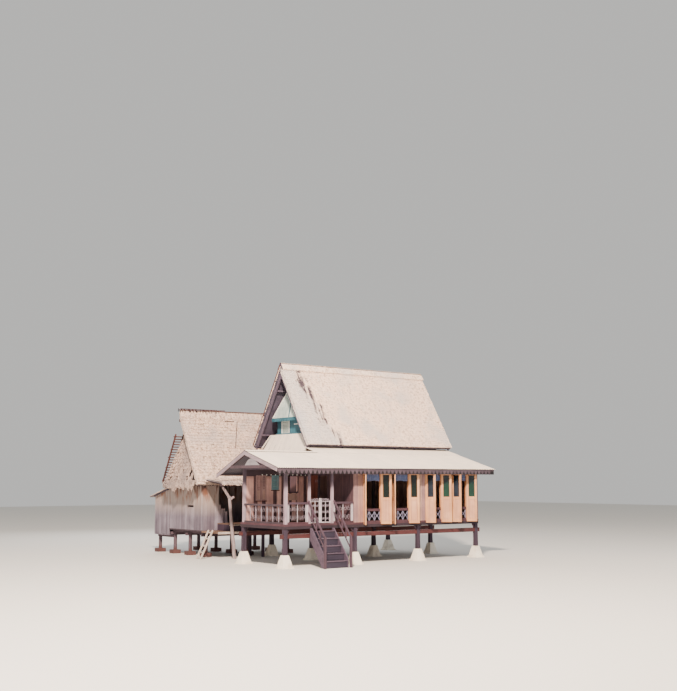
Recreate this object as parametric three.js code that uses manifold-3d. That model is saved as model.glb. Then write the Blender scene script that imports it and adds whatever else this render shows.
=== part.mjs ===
// A timber house on stilts: thatched hall, zinc-roofed front with an open corner verandah,
// and a thatched kitchen annex behind it. Millimetres, X along the front, Y away from the
// front, Z up. The origin is on the ground under the front left corner stilt.
import * as THREE from 'three';
import { mergeVertices } from 'three/addons/utils/BufferGeometryUtils.js';
import Module from 'manifold-3d';

const wasm = await Module();
wasm.setup();

// Plan of the main house
const bay = 2950;
const stiltX = [0, bay, 2 * bay, 3 * bay];
const middleY = 2600;
const backY = 5300;
const seat = 0.3;

// Levels
const footingHigh = 430;
const girderLow = 970;
const girderHigh = 1120;
const frameLow = 1280;
const boardLow = 1420;
const floorTop = 1450;
const wallTop = 3300;
const plateTop = 3400;
const wingBackPlateTop = 3370;
const hallWallTop = 4524;
const hallPlateTop = 4644;

// Timber sizes
const stiltWide = 150;
const sillHalf = 100;
const sillShift = 10;
const wallThick = 60;
const wallOut = 80;
const postWide = 100;

// Openings of the front wall, left edges and width
const windowX = [3290, 4620, 6220, 7530];
const windowWide = 800;
const windowHigh = 3180;

// Zinc roof over the front
const zincLeft = -670;
const zincRight = 9500;
const zincEaveY = -500;
const zincEaveZ = 3330;
const zincSlope = 0.286;
const zincThick = 25;
const zincTopY = 2400;
const wingRidgeY = 1530;
const wingBackY = 3390;
const wingBackSlope = 0.425;

// Thatch roof over the hall
const thatchLeft = 2400;
const thatchRight = 9600;
const ridgeY = 3957.5;
const ridgeZ = 7380;
const eaveHalf = 1930;
const eaveZ = 4270;
const thatchThick = 160;

// Annex
const annexLeft = 390;
const annexRight = 4610;
const annexFront = 6200;
const annexBack = 9000;
const annexFloorTop = 1000;
const annexWallTop = 2800;
const annexWall = 50;
const annexEaveY = 6000;
const annexEaveZ = 2790;
const annexRidgeY = 7600;
const annexRidgeZ = 5700;
const annexThatch = 130;
const leanToBack = 10300;
const leanToFloor = 770;
const leanToRight = 2600;

const house = new THREE.Group();

function finish(color, roughness, metalness = 0) {
  return new THREE.MeshStandardMaterial({ color, roughness, metalness });
}

const whitewash = finish('#efe6d6', 0.9);
const darkPost = finish('#4a3a4a', 0.85);
const girderRed = finish('#8a3f3a', 0.85);
const floorWood = finish('#7a5a4a', 0.85);
const plankTan = finish('#c89070', 0.8);
const plankGrey = finish('#8a6a6a', 0.85);
const annexGrey = finish('#8f8595', 0.9);
const leafOrange = finish('#e0a878', 0.7);
const ironWhite = finish('#c8c4c8', 0.6, 0.2);
const doorRed = finish('#8a4a3a', 0.8);
const stairPurple = finish('#5a4a5a', 0.85);
const zincCream = finish('#e8dccf', 0.55, 0.3);
const bargePink = finish('#d8c4c0', 0.8);
const fringeBrown = finish('#4a3434', 0.85);
const thatchCream = finish('#e9d9c8', 1);
const battenRed = finish('#8a4a3c', 0.9);
const gablePale = finish('#cfd8d0', 0.8);
const paleLog = finish('#e8ddd0', 0.85);

// Shapes

function box(x0, x1, y0, y1, z0, z1) {
  const shape = new THREE.BoxGeometry(x1 - x0, y1 - y0, z1 - z0);
  return shape.translate((x0 + x1) / 2, (y0 + y1) / 2, (z0 + z1) / 2);
}

function outlineShape(points) {
  return new THREE.Shape(points.map(([a, b]) => new THREE.Vector2(a, b)));
}

// An outline of [y, z] points, drawn out along X
function alongX(points, x0, x1) {
  const shape = new THREE.ExtrudeGeometry(outlineShape(points), {
    depth: x1 - x0, bevelEnabled: false,
  });
  const turn = new THREE.Matrix4().set(0, 0, 1, x0, 1, 0, 0, 0, 0, 1, 0, 0, 0, 0, 0, 1);
  return shape.applyMatrix4(turn);
}

// An outline of [x, z] points, drawn out along Y
function alongY(points, y0, y1) {
  const shape = new THREE.ExtrudeGeometry(outlineShape(points), {
    depth: y1 - y0, bevelEnabled: false,
  });
  return shape.rotateX(Math.PI / 2).translate(0, y1, 0);
}

// A round pole between two points
function pole(from, to, radius, sides = 8) {
  const start = new THREE.Vector3(...from);
  const end = new THREE.Vector3(...to);
  const line = end.clone().sub(start);
  const shape = new THREE.CylinderGeometry(radius, radius, line.length(), sides);
  const turn = new THREE.Quaternion().setFromUnitVectors(
    new THREE.Vector3(0, 1, 0), line.clone().normalize(),
  );
  const middle = start.clone().add(end).multiplyScalar(0.5);
  return shape.applyQuaternion(turn).translate(middle.x, middle.y, middle.z);
}

function toManifold(geometry) {
  const bare = geometry.clone();
  bare.deleteAttribute('normal');
  bare.deleteAttribute('uv');
  const merged = mergeVertices(bare, 0.001);
  return new wasm.Manifold(new wasm.Mesh({
    numProp: 3,
    vertProperties: new Float32Array(merged.attributes.position.array),
    triVerts: new Uint32Array(merged.index.array),
  }));
}

function toGeometry(solid) {
  const mesh = solid.asOriginal().simplify(0.01).getMesh();
  const geometry = new THREE.BufferGeometry();
  geometry.setAttribute('position', new THREE.BufferAttribute(mesh.vertProperties, 3));
  geometry.setIndex(new THREE.BufferAttribute(mesh.triVerts, 1));
  geometry.computeVertexNormals();
  return geometry;
}

function join(parts) {
  return toGeometry(parts.map(toManifold).reduce((whole, next) => whole.add(next)));
}

function cut(body, tools) {
  return toGeometry(tools.map(toManifold).reduce((rest, tool) => rest.subtract(tool), toManifold(body)));
}

function piece(name, material, geometry) {
  const mesh = new THREE.Mesh(geometry, material);
  mesh.name = name;
  house.add(mesh);
  return mesh;
}

// Footings: a low plinth under a cut-off pyramid

const plinthWide = 480;
const plinthHigh = 50;
const footingBase = 410;
const footingTop = 210;

function footing() {
  const shaft = new THREE.CylinderGeometry(
    footingTop / Math.SQRT2, footingBase / Math.SQRT2, footingHigh - plinthHigh + 10, 4,
  );
  shaft.rotateY(Math.PI / 4).rotateX(Math.PI / 2);
  shaft.translate(0, 0, (footingHigh + plinthHigh - 10) / 2);
  const plinth = box(-plinthWide / 2, plinthWide / 2, -plinthWide / 2, plinthWide / 2, 0, plinthHigh);
  return join([plinth, shaft]);
}

const stiltRows = [
  { name: 'front', y: 0, xs: stiltX },
  { name: 'middle', y: middleY, xs: stiltX },
  { name: 'back', y: backY, xs: stiltX.slice(1) },
];
const footingShape = footing();
const girderEnd = 200;
const girderThick = 70;

for (const row of stiltRows) {
  row.xs.forEach((x, index) => {
    piece(`footing_${row.name}_${index + 1}`, whitewash, footingShape).position.set(x, row.y, 0);
  });
  const half = stiltWide / 2;
  const stilts = row.xs.map((x) => (
    box(x - half, x + half, row.y - half, row.y + half, footingHigh + seat, frameLow)
  ));
  const girder = box(
    row.xs[0] - girderEnd, row.xs.at(-1) + girderEnd,
    row.y - girderThick / 2, row.y + girderThick / 2, girderLow, girderHigh,
  );
  piece(`${row.name}_stilts`, darkPost, join([...stilts, girder]));
}

// Floor frame: sills round both floors, with joists between them

const sillLow = -sillHalf + sillShift;
const sillHigh = sillHalf + sillShift;
const hallSillLeft = bay + sillLow;
const hallSillRight = bay + sillHigh;
const rightSillOut = 3 * bay + sillHalf - sillShift;
const rightSillIn = 3 * bay - sillHalf - sillShift;
const backSillOut = backY + sillHalf - sillShift;
const backSillIn = backY - sillHalf - sillShift;
const wingSillOut = middleY + sillHalf + sillShift;
const wingSillIn = middleY - sillHalf + sillShift;
const joistWide = 80;

function joists(left, right, count, y0, y1) {
  const step = (right - left) / (count + 1);
  return Array.from({ length: count }, (unused, index) => {
    const x = left + (index + 1) * step;
    return box(x - joistWide / 2, x + joistWide / 2, y0, y1, frameLow, boardLow);
  });
}

piece('floor_frame', girderRed, join([
  box(sillLow, rightSillOut, sillLow, sillHigh, frameLow, floorTop),
  box(sillLow, sillHigh, sillLow, wingSillOut, frameLow, floorTop),
  box(sillLow, hallSillRight, wingSillIn, wingSillOut, frameLow, floorTop),
  box(hallSillLeft, hallSillRight, sillLow, backSillOut, frameLow, floorTop),
  box(rightSillIn, rightSillOut, sillLow, backSillOut, frameLow, floorTop),
  box(hallSillLeft, rightSillOut, backSillIn, backSillOut, frameLow, floorTop),
  box(hallSillLeft, rightSillOut, wingSillIn, wingSillOut, frameLow, boardLow),
  ...joists(sillHigh, hallSillLeft, 3, sillLow + 50, wingSillOut - 50),
  ...joists(hallSillRight, rightSillIn, 7, sillLow + 50, backSillOut - 50),
]));
piece('hall_floor', floorWood, box(
  hallSillRight, rightSillIn, sillHigh, backSillIn, boardLow, floorTop,
));
piece('verandah_floor', floorWood, box(
  sillHigh, hallSillLeft, sillHigh, wingSillIn, boardLow, floorTop,
));

// Undersides of the zinc slopes

const underZinc = (y) => zincEaveZ + (y - zincEaveY) * zincSlope;
const wingRidgeZ = underZinc(wingRidgeY);
const underWingBack = (y) => wingRidgeZ - (y - wingRidgeY) * wingBackSlope;

// Verandah posts, plates and the plank gable on them

const slimPost = 80;
const gateLeft = 965;
const gateRight = 1935;
const wallIn = -(wallOut - wallThick);
const postFront = -wallOut;
const wingPostX = postWide / 2;

function verandahPost(x, wide, y0, y1) {
  return box(x - wide / 2, x + wide / 2, y0, y1, floorTop, wallTop);
}

const hallLeftOut = bay - wallOut;
const hallLeftIn = hallLeftOut + wallThick;
const hallRightOut = 3 * bay + wallOut;
const hallRightIn = hallRightOut - wallThick;
const hallBackOut = backY + wallOut;
const hallBackIn = hallBackOut - wallThick;
const verandahBackOut = middleY + 30;
const verandahBackIn = verandahBackOut - 50;

const gableClear = 55;
function wingGable() {
  const peak = underZinc(wingRidgeY) - gableClear - 10;
  const front = postFront + postWide;
  const back = wingRidgeY + (peak - plateTop) / wingBackSlope - 40;
  return alongX([
    [front, plateTop - 5], [back, plateTop - 5], [back, underWingBack(back) - gableClear],
    [wingRidgeY, peak], [front, underZinc(front) - gableClear],
  ], -25, 5);
}

piece('verandah_frame', plankGrey, join([
  wingGable(),
  verandahPost(0, postWide, postFront, postFront + postWide),
  verandahPost(gateLeft, slimPost, postFront, postFront + slimPost),
  verandahPost(gateRight, slimPost, postFront, postFront + slimPost),
  verandahPost(0, postWide, middleY - wingPostX, middleY + wingPostX),
  box(-wingPostX, hallLeftOut, postFront, postFront + postWide, wallTop, plateTop),
  box(-wingPostX, wingPostX, postFront, middleY + wingPostX, wallTop, plateTop),
  box(-wingPostX, hallLeftOut, middleY - wingPostX, middleY + wingPostX, wallTop, wingBackPlateTop),
]));

// Hall posts, low front plate, tall plates and tie beams

const tallFront = middleY - postWide / 2;
const tallY = [tallFront, tallFront + postWide];
const backPostY = [hallBackIn - postWide, hallBackIn];
const frontPostY = [wallIn, wallIn + postWide];
const postX = [
  [hallLeftIn, hallLeftIn + postWide],
  [2 * bay - postWide / 2, 2 * bay + postWide / 2],
  [hallRightIn - postWide, hallRightIn],
];
const hallPosts = postX.flatMap(([x0, x1]) => [
  box(x0, x1, ...frontPostY, floorTop, wallTop),
  box(x0, x1, ...tallY, floorTop, hallWallTop),
  box(x0, x1, ...backPostY, floorTop, hallWallTop),
  box(x0, x1, tallY[0], backPostY[1], hallWallTop, hallPlateTop),
]);
piece('hall_frame', plankGrey, join([
  ...hallPosts,
  ...postX.map(([x0, x1]) => box(x0, x1, frontPostY[0], tallY[1], wallTop - 100, wallTop)),
  box(hallLeftIn, hallRightIn, postFront, frontPostY[1], wallTop, plateTop),
  box(hallLeftOut, hallRightOut, ...tallY, hallWallTop, hallPlateTop),
  box(hallLeftOut, hallRightOut, backPostY[0], hallBackOut, hallWallTop, hallPlateTop),
]));

// Walls of the hall

piece('front_wall', plankTan, cut(
  box(hallLeftOut, hallRightOut, -wallOut, wallIn, floorTop, wallTop),
  windowX.map((x) => box(x, x + windowWide, -200, 200, floorTop - 10, windowHigh)),
));
piece('back_wall', plankTan, box(
  hallLeftIn, hallRightIn, hallBackIn, hallBackOut, floorTop, hallWallTop,
));

const wallStep = 2500;
const sideWallClear = 75;
const sideWallOutline = [
  [wallIn, floorTop], [hallBackOut, floorTop], [hallBackOut, hallWallTop],
  [wallStep, hallWallTop], [wallStep, underZinc(wallStep) - sideWallClear],
  [wallIn, underZinc(wallIn) - sideWallClear],
];
const doorY = [1470, 2090];
const doorHigh = 3130;
const rearDoorY = [3900, 4700];
piece('left_wall', plankGrey, cut(alongX(sideWallOutline, hallLeftOut, hallLeftIn), [
  box(hallLeftOut - 50, hallLeftIn + 50, ...doorY, floorTop - 10, doorHigh),
  box(hallLeftOut - 50, hallLeftIn + 50, ...rearDoorY, floorTop - 10, doorHigh),
]));
piece('right_wall', plankTan, alongX(sideWallOutline, hallRightIn, hallRightOut));

// Back wall of the verandah with one open window
const backWindowX = [1830, 2270];
const backWindowZ = [2500, 3150];
piece('verandah_back_wall', plankGrey, cut(
  box(wingPostX, hallLeftOut, verandahBackIn, verandahBackOut, floorTop, wallTop),
  [box(...backWindowX, verandahBackIn - 50, verandahBackOut + 50, ...backWindowZ)],
));

// Balustrades: bottom rail, handrail and upright bars

const railDeep = 60;
const railLow = floorTop + 60;
const frontRailTop = 2180;
const sideRailTop = 2110;

function spacedBars(from, to, count) {
  const step = (to - from) / (count + 1);
  return Array.from({ length: count }, (unused, index) => from + (index + 1) * step);
}

function frontBalustrade(x0, x1) {
  const low = -55;
  const high = low + railDeep;
  const bars = spacedBars(x0, x1, 5).map((x) => (
    box(x - 15, x + 15, low + 15, high - 15, railLow - 10, frontRailTop - 60)
  ));
  return join([
    box(x0, x1, low, high, floorTop, railLow),
    box(x0, x1, low - 15, high + 15, frontRailTop - 70, frontRailTop),
    ...bars,
  ]);
}

const firstBar = wingPostX;
piece('front_balustrade_left', ironWhite, frontBalustrade(firstBar, gateLeft - slimPost / 2));
piece('front_balustrade_right', ironWhite, frontBalustrade(gateRight + slimPost / 2, hallLeftOut));

const sideFrom = postFront + postWide;
const sideTo = middleY - wingPostX;
piece('side_balustrade', plankGrey, join([
  box(-30, 30, sideFrom, sideTo, floorTop, railLow),
  box(-45, 45, sideFrom, sideTo, sideRailTop - 70, sideRailTop),
  ...spacedBars(sideFrom, sideTo, 15).map((y) => (
    box(-15, 15, y - 15, y + 15, railLow - 10, sideRailTop - 60)
  )),
]));

// Gate leaves, each on a foot that stands on the sill

const gateAxisY = -15;
const gateClear = 25;
const gateTop = 2330;
const leafLow = floorTop + 20;
const gateThick = 30;
const gateStile = 45;
const pivotRadius = 10;
const gateAxisLeft = gateLeft + slimPost / 2 + gateClear;
const gateAxisRight = gateRight - slimPost / 2 - gateClear;
const gateHalfGap = 3.5;
const pivotInset = 12;
const gateWide = (gateAxisRight - gateAxisLeft) / 2 - gateHalfGap + pivotInset;

// The leaf runs from its hinge stile towards +X, with the pivot axis at x = 0
function gateLeaf() {
  const x0 = -pivotInset;
  const x1 = gateWide - pivotInset;
  const half = gateThick / 2;
  const bars = spacedBars(x0 + gateStile, x1 - gateStile, 3).map((x) => (
    box(x - 10, x + 10, -10, 10, leafLow + 50, gateTop - 50)
  ));
  return join([
    box(x0, x0 + gateStile, -half, half, leafLow, gateTop),
    box(x1 - gateStile, x1, -half, half, leafLow, gateTop),
    box(x0, x1, -half, half, leafLow, leafLow + 60),
    box(x0, x1, -half, half, gateTop - 60, gateTop),
    ...bars,
    pole([0, 0, floorTop + seat], [0, 0, leafLow + 20], pivotRadius),
  ]);
}

const gateShape = gateLeaf();
piece('gate_leaf_left', ironWhite, gateShape).position.set(gateAxisLeft, gateAxisY, 0);
const rightLeaf = piece('gate_leaf_right', ironWhite, gateShape);
rightLeaf.position.set(gateAxisRight, gateAxisY, 0);
rightLeaf.rotation.z = Math.PI;

// Hall door, folded back flat against the wall at rest

const doorThick = 34;
const doorGap = 26;
const doorAxisX = hallLeftOut - doorGap;
const doorAxisY = doorY[1];
const doorWide = 440;
const doorTop = 3100;

function hallDoor() {
  const half = doorThick / 2;
  const y0 = 10;
  const y1 = y0 + doorWide;
  const leaf = box(-half, half, y0, y1, leafLow, doorTop);
  const panels = [[leafLow + 110, 2200], [2290, doorTop - 100]].flatMap(([z0, z1]) => [
    box(-half - 5, -half + 10, y0 + 80, y1 - 80, z0, z1),
    box(half - 10, half + 5, y0 + 80, y1 - 80, z0, z1),
  ]);
  const foot = join([
    box(-half, half, -pivotRadius, y0 + 30, leafLow, leafLow + 60),
    pole([0, 0, floorTop + seat], [0, 0, leafLow + 20], pivotRadius),
  ]);
  return join([cut(leaf, panels), foot]);
}

piece('hall_door', doorRed, hallDoor()).position.set(doorAxisX, doorAxisY, 0);

// Windows: lining, two leaves that stand open, guard rail and a short cloth under the head

const leafWide = 400;
const leafBottom = 1370;
const leafTop = 3172;
const leafThick = 35;
const leafStile = 80;
const paneLow = 2300;
const paneHigh = 3130;
const panelLow = 1460;
const panelHigh = 2220;
const lining = 40;
const liningOut = 112;
const guardTop = 1920;
const clothLow = 2900;

// The leaf runs from its hinge edge towards +X in the plane y = 0
function windowLeaf() {
  const half = leafThick / 2;
  const pockets = [[paneLow, paneHigh], [panelLow, panelHigh]].flatMap(([z0, z1]) => [
    box(leafStile, leafWide - leafStile, -half - 5, -half + 11, z0, z1),
    box(leafStile, leafWide - leafStile, half - 11, half + 5, z0, z1),
  ]);
  return cut(box(0, leafWide, -half, half, leafBottom, leafTop), pockets);
}

// Opening angles of the left and right leaf, in degrees from shut
const leafAngles = [[119, 150], [117, 150], [66, 146], [68, 145]];

function windowSet(left, [leftAngle, rightAngle]) {
  const right = left + windowWide;
  const inner0 = left + seat + lining;
  const inner1 = right - seat - lining;
  const front = -liningOut;
  const pivotIn = 18;
  const turn = THREE.MathUtils.degToRad;
  const leftLeaf = windowLeaf().rotateZ(-turn(leftAngle)).translate(left + pivotIn, front + 4, 0);
  const rightLeaf = windowLeaf().rotateZ(turn(rightAngle) - Math.PI).translate(right - pivotIn, front + 4, 0);
  const guardBars = spacedBars(inner0, inner1, 5).map((x) => box(x - 20, x + 20, -65, -45, 1500, 1850));
  return join([
    box(left + seat, inner0, front, wallIn, floorTop + seat, windowHigh - seat),
    box(inner1, right - seat, front, wallIn, floorTop + seat, windowHigh - seat),
    box(left + seat, right - seat, front, wallIn, windowHigh - lining, windowHigh - seat),
    box(inner0 - 5, inner1 + 5, -80, -30, guardTop - 90, guardTop),
    box(inner0 - 5, inner1 + 5, -80, -30, floorTop + seat, 1510),
    ...guardBars,
    box(inner0 - 5, inner1 + 5, -60, -45, clothLow, windowHigh - lining + 5),
    leftLeaf,
    rightLeaf,
  ]);
}

windowX.forEach((x, index) => {
  piece(`window_${index + 1}`, leafOrange, windowSet(x, leafAngles[index]));
});

// Stair with closed risers between two strings, and its rails

const riser = floorTop / 6;
const tread = 175;
const stairBack = sillLow - seat;
const stairLeft = gateLeft + 5;
const stairRight = gateRight + 5;
const stringThick = 45;
const treadThick = 40;

function stair() {
  const parts = [];
  for (let step = 1; step <= 5; step += 1) {
    const y1 = stairBack - (5 - step) * tread;
    const top = step * riser;
    parts.push(box(stairLeft + 5, stairRight - 5, y1 - tread - 20, y1, top - treadThick, top));
    parts.push(box(stairLeft + 5, stairRight - 5, y1 - tread, y1 - tread + 25, top - riser, top - 5));
  }
  const front = stairBack - 5 * tread - 30;
  const outline = [
    [front, 0], [front + 200, 0], [stairBack, 900], [stairBack, 5 * riser + 90],
    [stairBack - 90, 5 * riser + 90], [front, riser + 60],
  ];
  parts.push(alongX(outline, stairLeft, stairLeft + stringThick));
  parts.push(alongX(outline, stairRight - stringThick, stairRight));
  return join(parts);
}

piece('stair', stairPurple, stair());

const railTopZ = 2230;
const railFootZ = 1010;
const newelY = stairBack - 5 * tread - 75;
const newelHalf = 40;
const newelOver = 60;
const railBarHalf = 18;
const railBarLong = 420;
const railBarShares = [0.28, 0.52, 0.76];
const topRailDeep = [-45, 20];
const lowRailDeep = [-430, -370];
const lowRailHalf = 20;
const lowRailGap = 6;
const stairRailFar = 90;
const stairRailNear = 20;

function stairRail(x0, x1) {
  const slope = (railTopZ - railFootZ) / (postFront - newelY);
  const railZ = (y) => railFootZ + (y - newelY) * slope;
  const x = (x0 + x1) / 2;
  const wide = x1 - x0;
  const bars = railBarShares.map((share) => {
    const y = newelY + share * (postFront - newelY);
    return box(x - railBarHalf, x + railBarHalf, y - railBarHalf, y + railBarHalf,
      railZ(y) - railBarLong, railZ(y));
  });
  const sloping = (yFoot, yTop, [below, above]) => [
    [yFoot, railFootZ + below], [yTop, railTopZ + below],
    [yTop, railTopZ + above], [yFoot, railFootZ + above],
  ];
  const lower = sloping(newelY, postFront - lowRailGap, lowRailDeep);
  const upper = sloping(newelY - newelHalf, postFront - seat, topRailDeep);
  return join([
    box(x - wide / 2, x + wide / 2, newelY - newelHalf, newelY + newelHalf, 0, railFootZ + newelOver),
    alongX(upper, x - wide / 2, x + wide / 2),
    alongX(lower, x - lowRailHalf, x + lowRailHalf),
    ...bars,
  ]);
}

piece('stair_rail_left', bargePink, stairRail(stairLeft - stairRailFar, stairLeft - stairRailNear));
piece('stair_rail_right', bargePink, stairRail(stairRight + stairRailNear, stairRight + stairRailFar));

// Zinc roof over the front and the wing

const zincTop = (y) => underZinc(y) + zincThick;
function zincSlab(y0, y1) {
  return [[y0, underZinc(y0)], [y1, underZinc(y1)], [y1, zincTop(y1)], [y0, zincTop(y0)]];
}

const zincOverlap = 10;
const zincShort = 20;
piece('front_zinc_roof', zincCream, join([
  alongX(zincSlab(zincEaveY, wingRidgeY), zincLeft, zincRight),
  alongX(zincSlab(wingRidgeY - zincOverlap, zincTopY), thatchLeft, hallLeftOut - seat),
  alongX(zincSlab(wingRidgeY - zincOverlap, wallStep - zincShort), hallLeftOut - 5, hallRightOut + 5),
  alongX(zincSlab(wingRidgeY - zincOverlap, zincTopY), hallRightOut, zincRight),
]));

piece('wing_back_zinc_roof', zincCream, alongX([
  [wingRidgeY + seat, underWingBack(wingRidgeY)], [wingBackY, underWingBack(wingBackY)],
  [wingBackY, underWingBack(wingBackY) + zincThick], [wingRidgeY + seat, wingRidgeZ + zincThick - seat],
], zincLeft, thatchLeft - seat));

// Rafters under the zinc, on a purlin at the eave and on the plates

const rafterDeep = 49.5;
const rafterWide = 60;
const rafterBack = 60;
const ridgeLap = 20;
function frontRafter(x, y1) {
  const low = (y) => underZinc(y) - seat - rafterDeep;
  const outline = [
    [zincEaveY + rafterBack, low(zincEaveY + rafterBack)], [y1, low(y1)], [y1, low(y1) + rafterDeep],
    [zincEaveY + rafterBack, low(zincEaveY + rafterBack) + rafterDeep],
  ];
  return alongX(outline, x - rafterWide / 2, x + rafterWide / 2);
}
function wingBackRafter(x) {
  const low = (y) => underWingBack(y) - seat - rafterDeep;
  const outline = [
    [wingRidgeY - ridgeLap, low(wingRidgeY)], [wingBackY - rafterBack, low(wingBackY - rafterBack)],
    [wingBackY - rafterBack, low(wingBackY - rafterBack) + rafterDeep],
    [wingRidgeY - ridgeLap, low(wingRidgeY) + rafterDeep - ridgeLap],
  ];
  return alongX(outline, x - rafterWide / 2, x + rafterWide / 2);
}

const purlinWide = 60;
const purlinIn = 60;
const eavePurlinY = zincEaveY + 80;
const ridgePurlinY = wingRidgeY - purlinWide;
const backPurlinY = wingBackY - 70;
function frontPurlin(y) {
  const low = underZinc(y) - seat - rafterDeep;
  return box(zincLeft + purlinIn, zincRight - purlinIn, y, y + purlinWide, low + 2, low + rafterDeep - 5);
}
const wingRafterX = [-560, 300, 1150, 2000, 2700];
const hallRafterX = [3600, 4500, 5400, 6300, 7200, 8100, 9340];
piece('zinc_roof_frame', plankGrey, join([
  ...wingRafterX.map((x) => frontRafter(x, wingRidgeY)),
  ...wingRafterX.slice(0, 4).map((x) => wingBackRafter(x)),
  ...hallRafterX.map((x) => frontRafter(x, x > hallRightOut ? zincTopY : tallFront - 40)),
  frontPurlin(eavePurlinY),
  frontPurlin(ridgePurlinY),
  box(zincLeft + purlinIn, thatchLeft - purlinIn, backPurlinY - purlinWide, backPurlinY,
    underWingBack(backPurlinY) - seat - 65, underWingBack(backPurlinY) - seat - 5),
]));

// Barge boards of the wing with a pale tie board between them

const bargeThick = 30;
const bargeDeep = 150;
const bargeRise = 40;
const bargeFront = zincEaveY - 20;
const bargeBack = wingBackY + 20;
const tieY = [150, 2450];
const tieZ = [3335, 3435];
piece('wing_barge_boards', bargePink, join([
  alongX([
    [bargeFront, underZinc(bargeFront) - bargeDeep + bargeRise],
    [wingRidgeY, wingRidgeZ - bargeDeep + bargeRise],
    [wingRidgeY, wingRidgeZ + bargeRise], [bargeFront, underZinc(bargeFront) + bargeRise],
  ], zincLeft - bargeThick - seat, zincLeft - seat),
  alongX([
    [wingRidgeY, wingRidgeZ - bargeDeep + bargeRise],
    [bargeBack, underWingBack(bargeBack) - bargeDeep + bargeRise],
    [bargeBack, underWingBack(bargeBack) + bargeRise], [wingRidgeY, wingRidgeZ + bargeRise],
  ], zincLeft - bargeThick - seat, zincLeft - seat),
  box(zincLeft - bargeThick - seat, zincLeft - seat, ...tieY, ...tieZ),
]));

// Scalloped fringe along the front eave

const toothPitch = 180;
const toothRoot = 85;
const toothTip = 145;
const fringeY = [zincEaveY + 20, zincEaveY + 45];
function eaveFringe() {
  const left = zincLeft + 40;
  const right = zincRight - 60;
  const top = underZinc(fringeY[0]) - seat;
  const count = Math.floor((right - left) / toothPitch);
  const points = [[left, top]];
  for (let tooth = 0; tooth < count; tooth += 1) {
    const x = left + tooth * toothPitch;
    points.push([x, top - toothRoot], [x + toothPitch / 2, top - toothTip]);
  }
  points.push([left + count * toothPitch, top - toothRoot], [left + count * toothPitch, top]);
  return alongY(points, ...fringeY);
}
piece('eave_fringe', fringeBrown, eaveFringe());

// Thatch slopes with a ridge cap

function thatchOutline(eaveY, eaveHeight, ridge, ridgeHeight, thick) {
  const run = ridge - eaveY;
  const length = Math.hypot(run, ridgeHeight - eaveHeight);
  const inY = (ridgeHeight - eaveHeight) / length * thick * Math.sign(run);
  const inZ = -Math.abs(run) / length * thick;
  const slope = (ridgeHeight - eaveHeight) / run;
  return {
    slope,
    innerEave: [eaveY + inY, eaveHeight + inZ],
    points: [
      [eaveY, eaveHeight], [ridge, ridgeHeight],
      [ridge, ridgeHeight + inZ - inY * slope], [eaveY + inY, eaveHeight + inZ],
    ],
  };
}

const ridgeSplit = 0.2;
const frontThatch = thatchOutline(ridgeY - eaveHalf, eaveZ, ridgeY - ridgeSplit, ridgeZ, thatchThick);
const backThatch = thatchOutline(ridgeY + eaveHalf, eaveZ, ridgeY + ridgeSplit, ridgeZ, thatchThick);
piece('thatch_front', thatchCream, alongX(frontThatch.points, thatchLeft, thatchRight));
piece('thatch_back', thatchCream, alongX(backThatch.points, thatchLeft, thatchRight));

const mainSlope = Math.abs(frontThatch.slope);
const capHalf = 150;
const capThick = 45;
piece('ridge_cap', thatchCream, alongX([
  [ridgeY - capHalf, ridgeZ - capHalf * mainSlope + seat * 3],
  [ridgeY, ridgeZ + seat * 3],
  [ridgeY + capHalf, ridgeZ - capHalf * mainSlope + seat * 3],
  [ridgeY + capHalf + 10, ridgeZ - capHalf * mainSlope + capThick + 20],
  [ridgeY, ridgeZ + capThick + 25],
  [ridgeY - capHalf - 10, ridgeZ - capHalf * mainSlope + capThick + 20],
], thatchLeft - 30, thatchRight + 30));

// Rafters and battens that carry the thatch

const thatchInner = (y) => frontThatch.innerEave[1] + (y - frontThatch.innerEave[0]) * mainSlope;
const poleDrop = 140;
const rafterEnd = 190;
const thatchRafterHalf = 35;
const battenX = [2425, 9575];
const battenHalf = 25;
const battenDrop = 60;
const ridgePoleHalf = 45;
const ridgePoleDrop = [260, 100];
const kingHalf = 65;
const kingDrop = 200;
const roofSeat = 0.6;
const roofRafterX = [2460, 4100, 5100, 6700, 7700, 9540];

function thatchRafter(x, side) {
  const at = (offset) => ridgeY + side * offset;
  const height = (offset, drop) => thatchInner(ridgeY - offset) - drop;
  const low = eaveHalf - rafterEnd;
  return alongX([
    [at(0), height(0, roofSeat)], [at(low), height(low, roofSeat)],
    [at(low), height(low, poleDrop)], [at(0), height(0, poleDrop)],
  ], x - thatchRafterHalf, x + thatchRafterHalf);
}
function thatchBatten(offset, side) {
  const top = thatchInner(ridgeY - offset) - battenDrop;
  const y = ridgeY + side * offset;
  return box(...battenX, y - battenHalf, y + battenHalf, top - 2 * battenHalf, top);
}
const battenOffsets = [380, 1420];
const rafterSeat = hallPlateTop + seat;
piece('thatch_frame', battenRed, join([
  ...roofRafterX.flatMap((x) => [thatchRafter(x, -1), thatchRafter(x, 1)]),
  box(...battenX, ridgeY - ridgePoleHalf, ridgeY + ridgePoleHalf,
    thatchInner(ridgeY) - ridgePoleDrop[0], thatchInner(ridgeY) - ridgePoleDrop[1]),
  ...battenOffsets.flatMap((offset) => [thatchBatten(offset, -1), thatchBatten(offset, 1)]),
  ...postX.slice(1, 2).map(([x0, x1]) => (
    box(x0, x1, ridgeY - kingHalf, ridgeY + kingHalf, rafterSeat, thatchInner(ridgeY) - kingDrop)
  )),
]));

// Gable screens: a leaning upper panel over a scalloped shelf, a band, and a leaning apron

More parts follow.
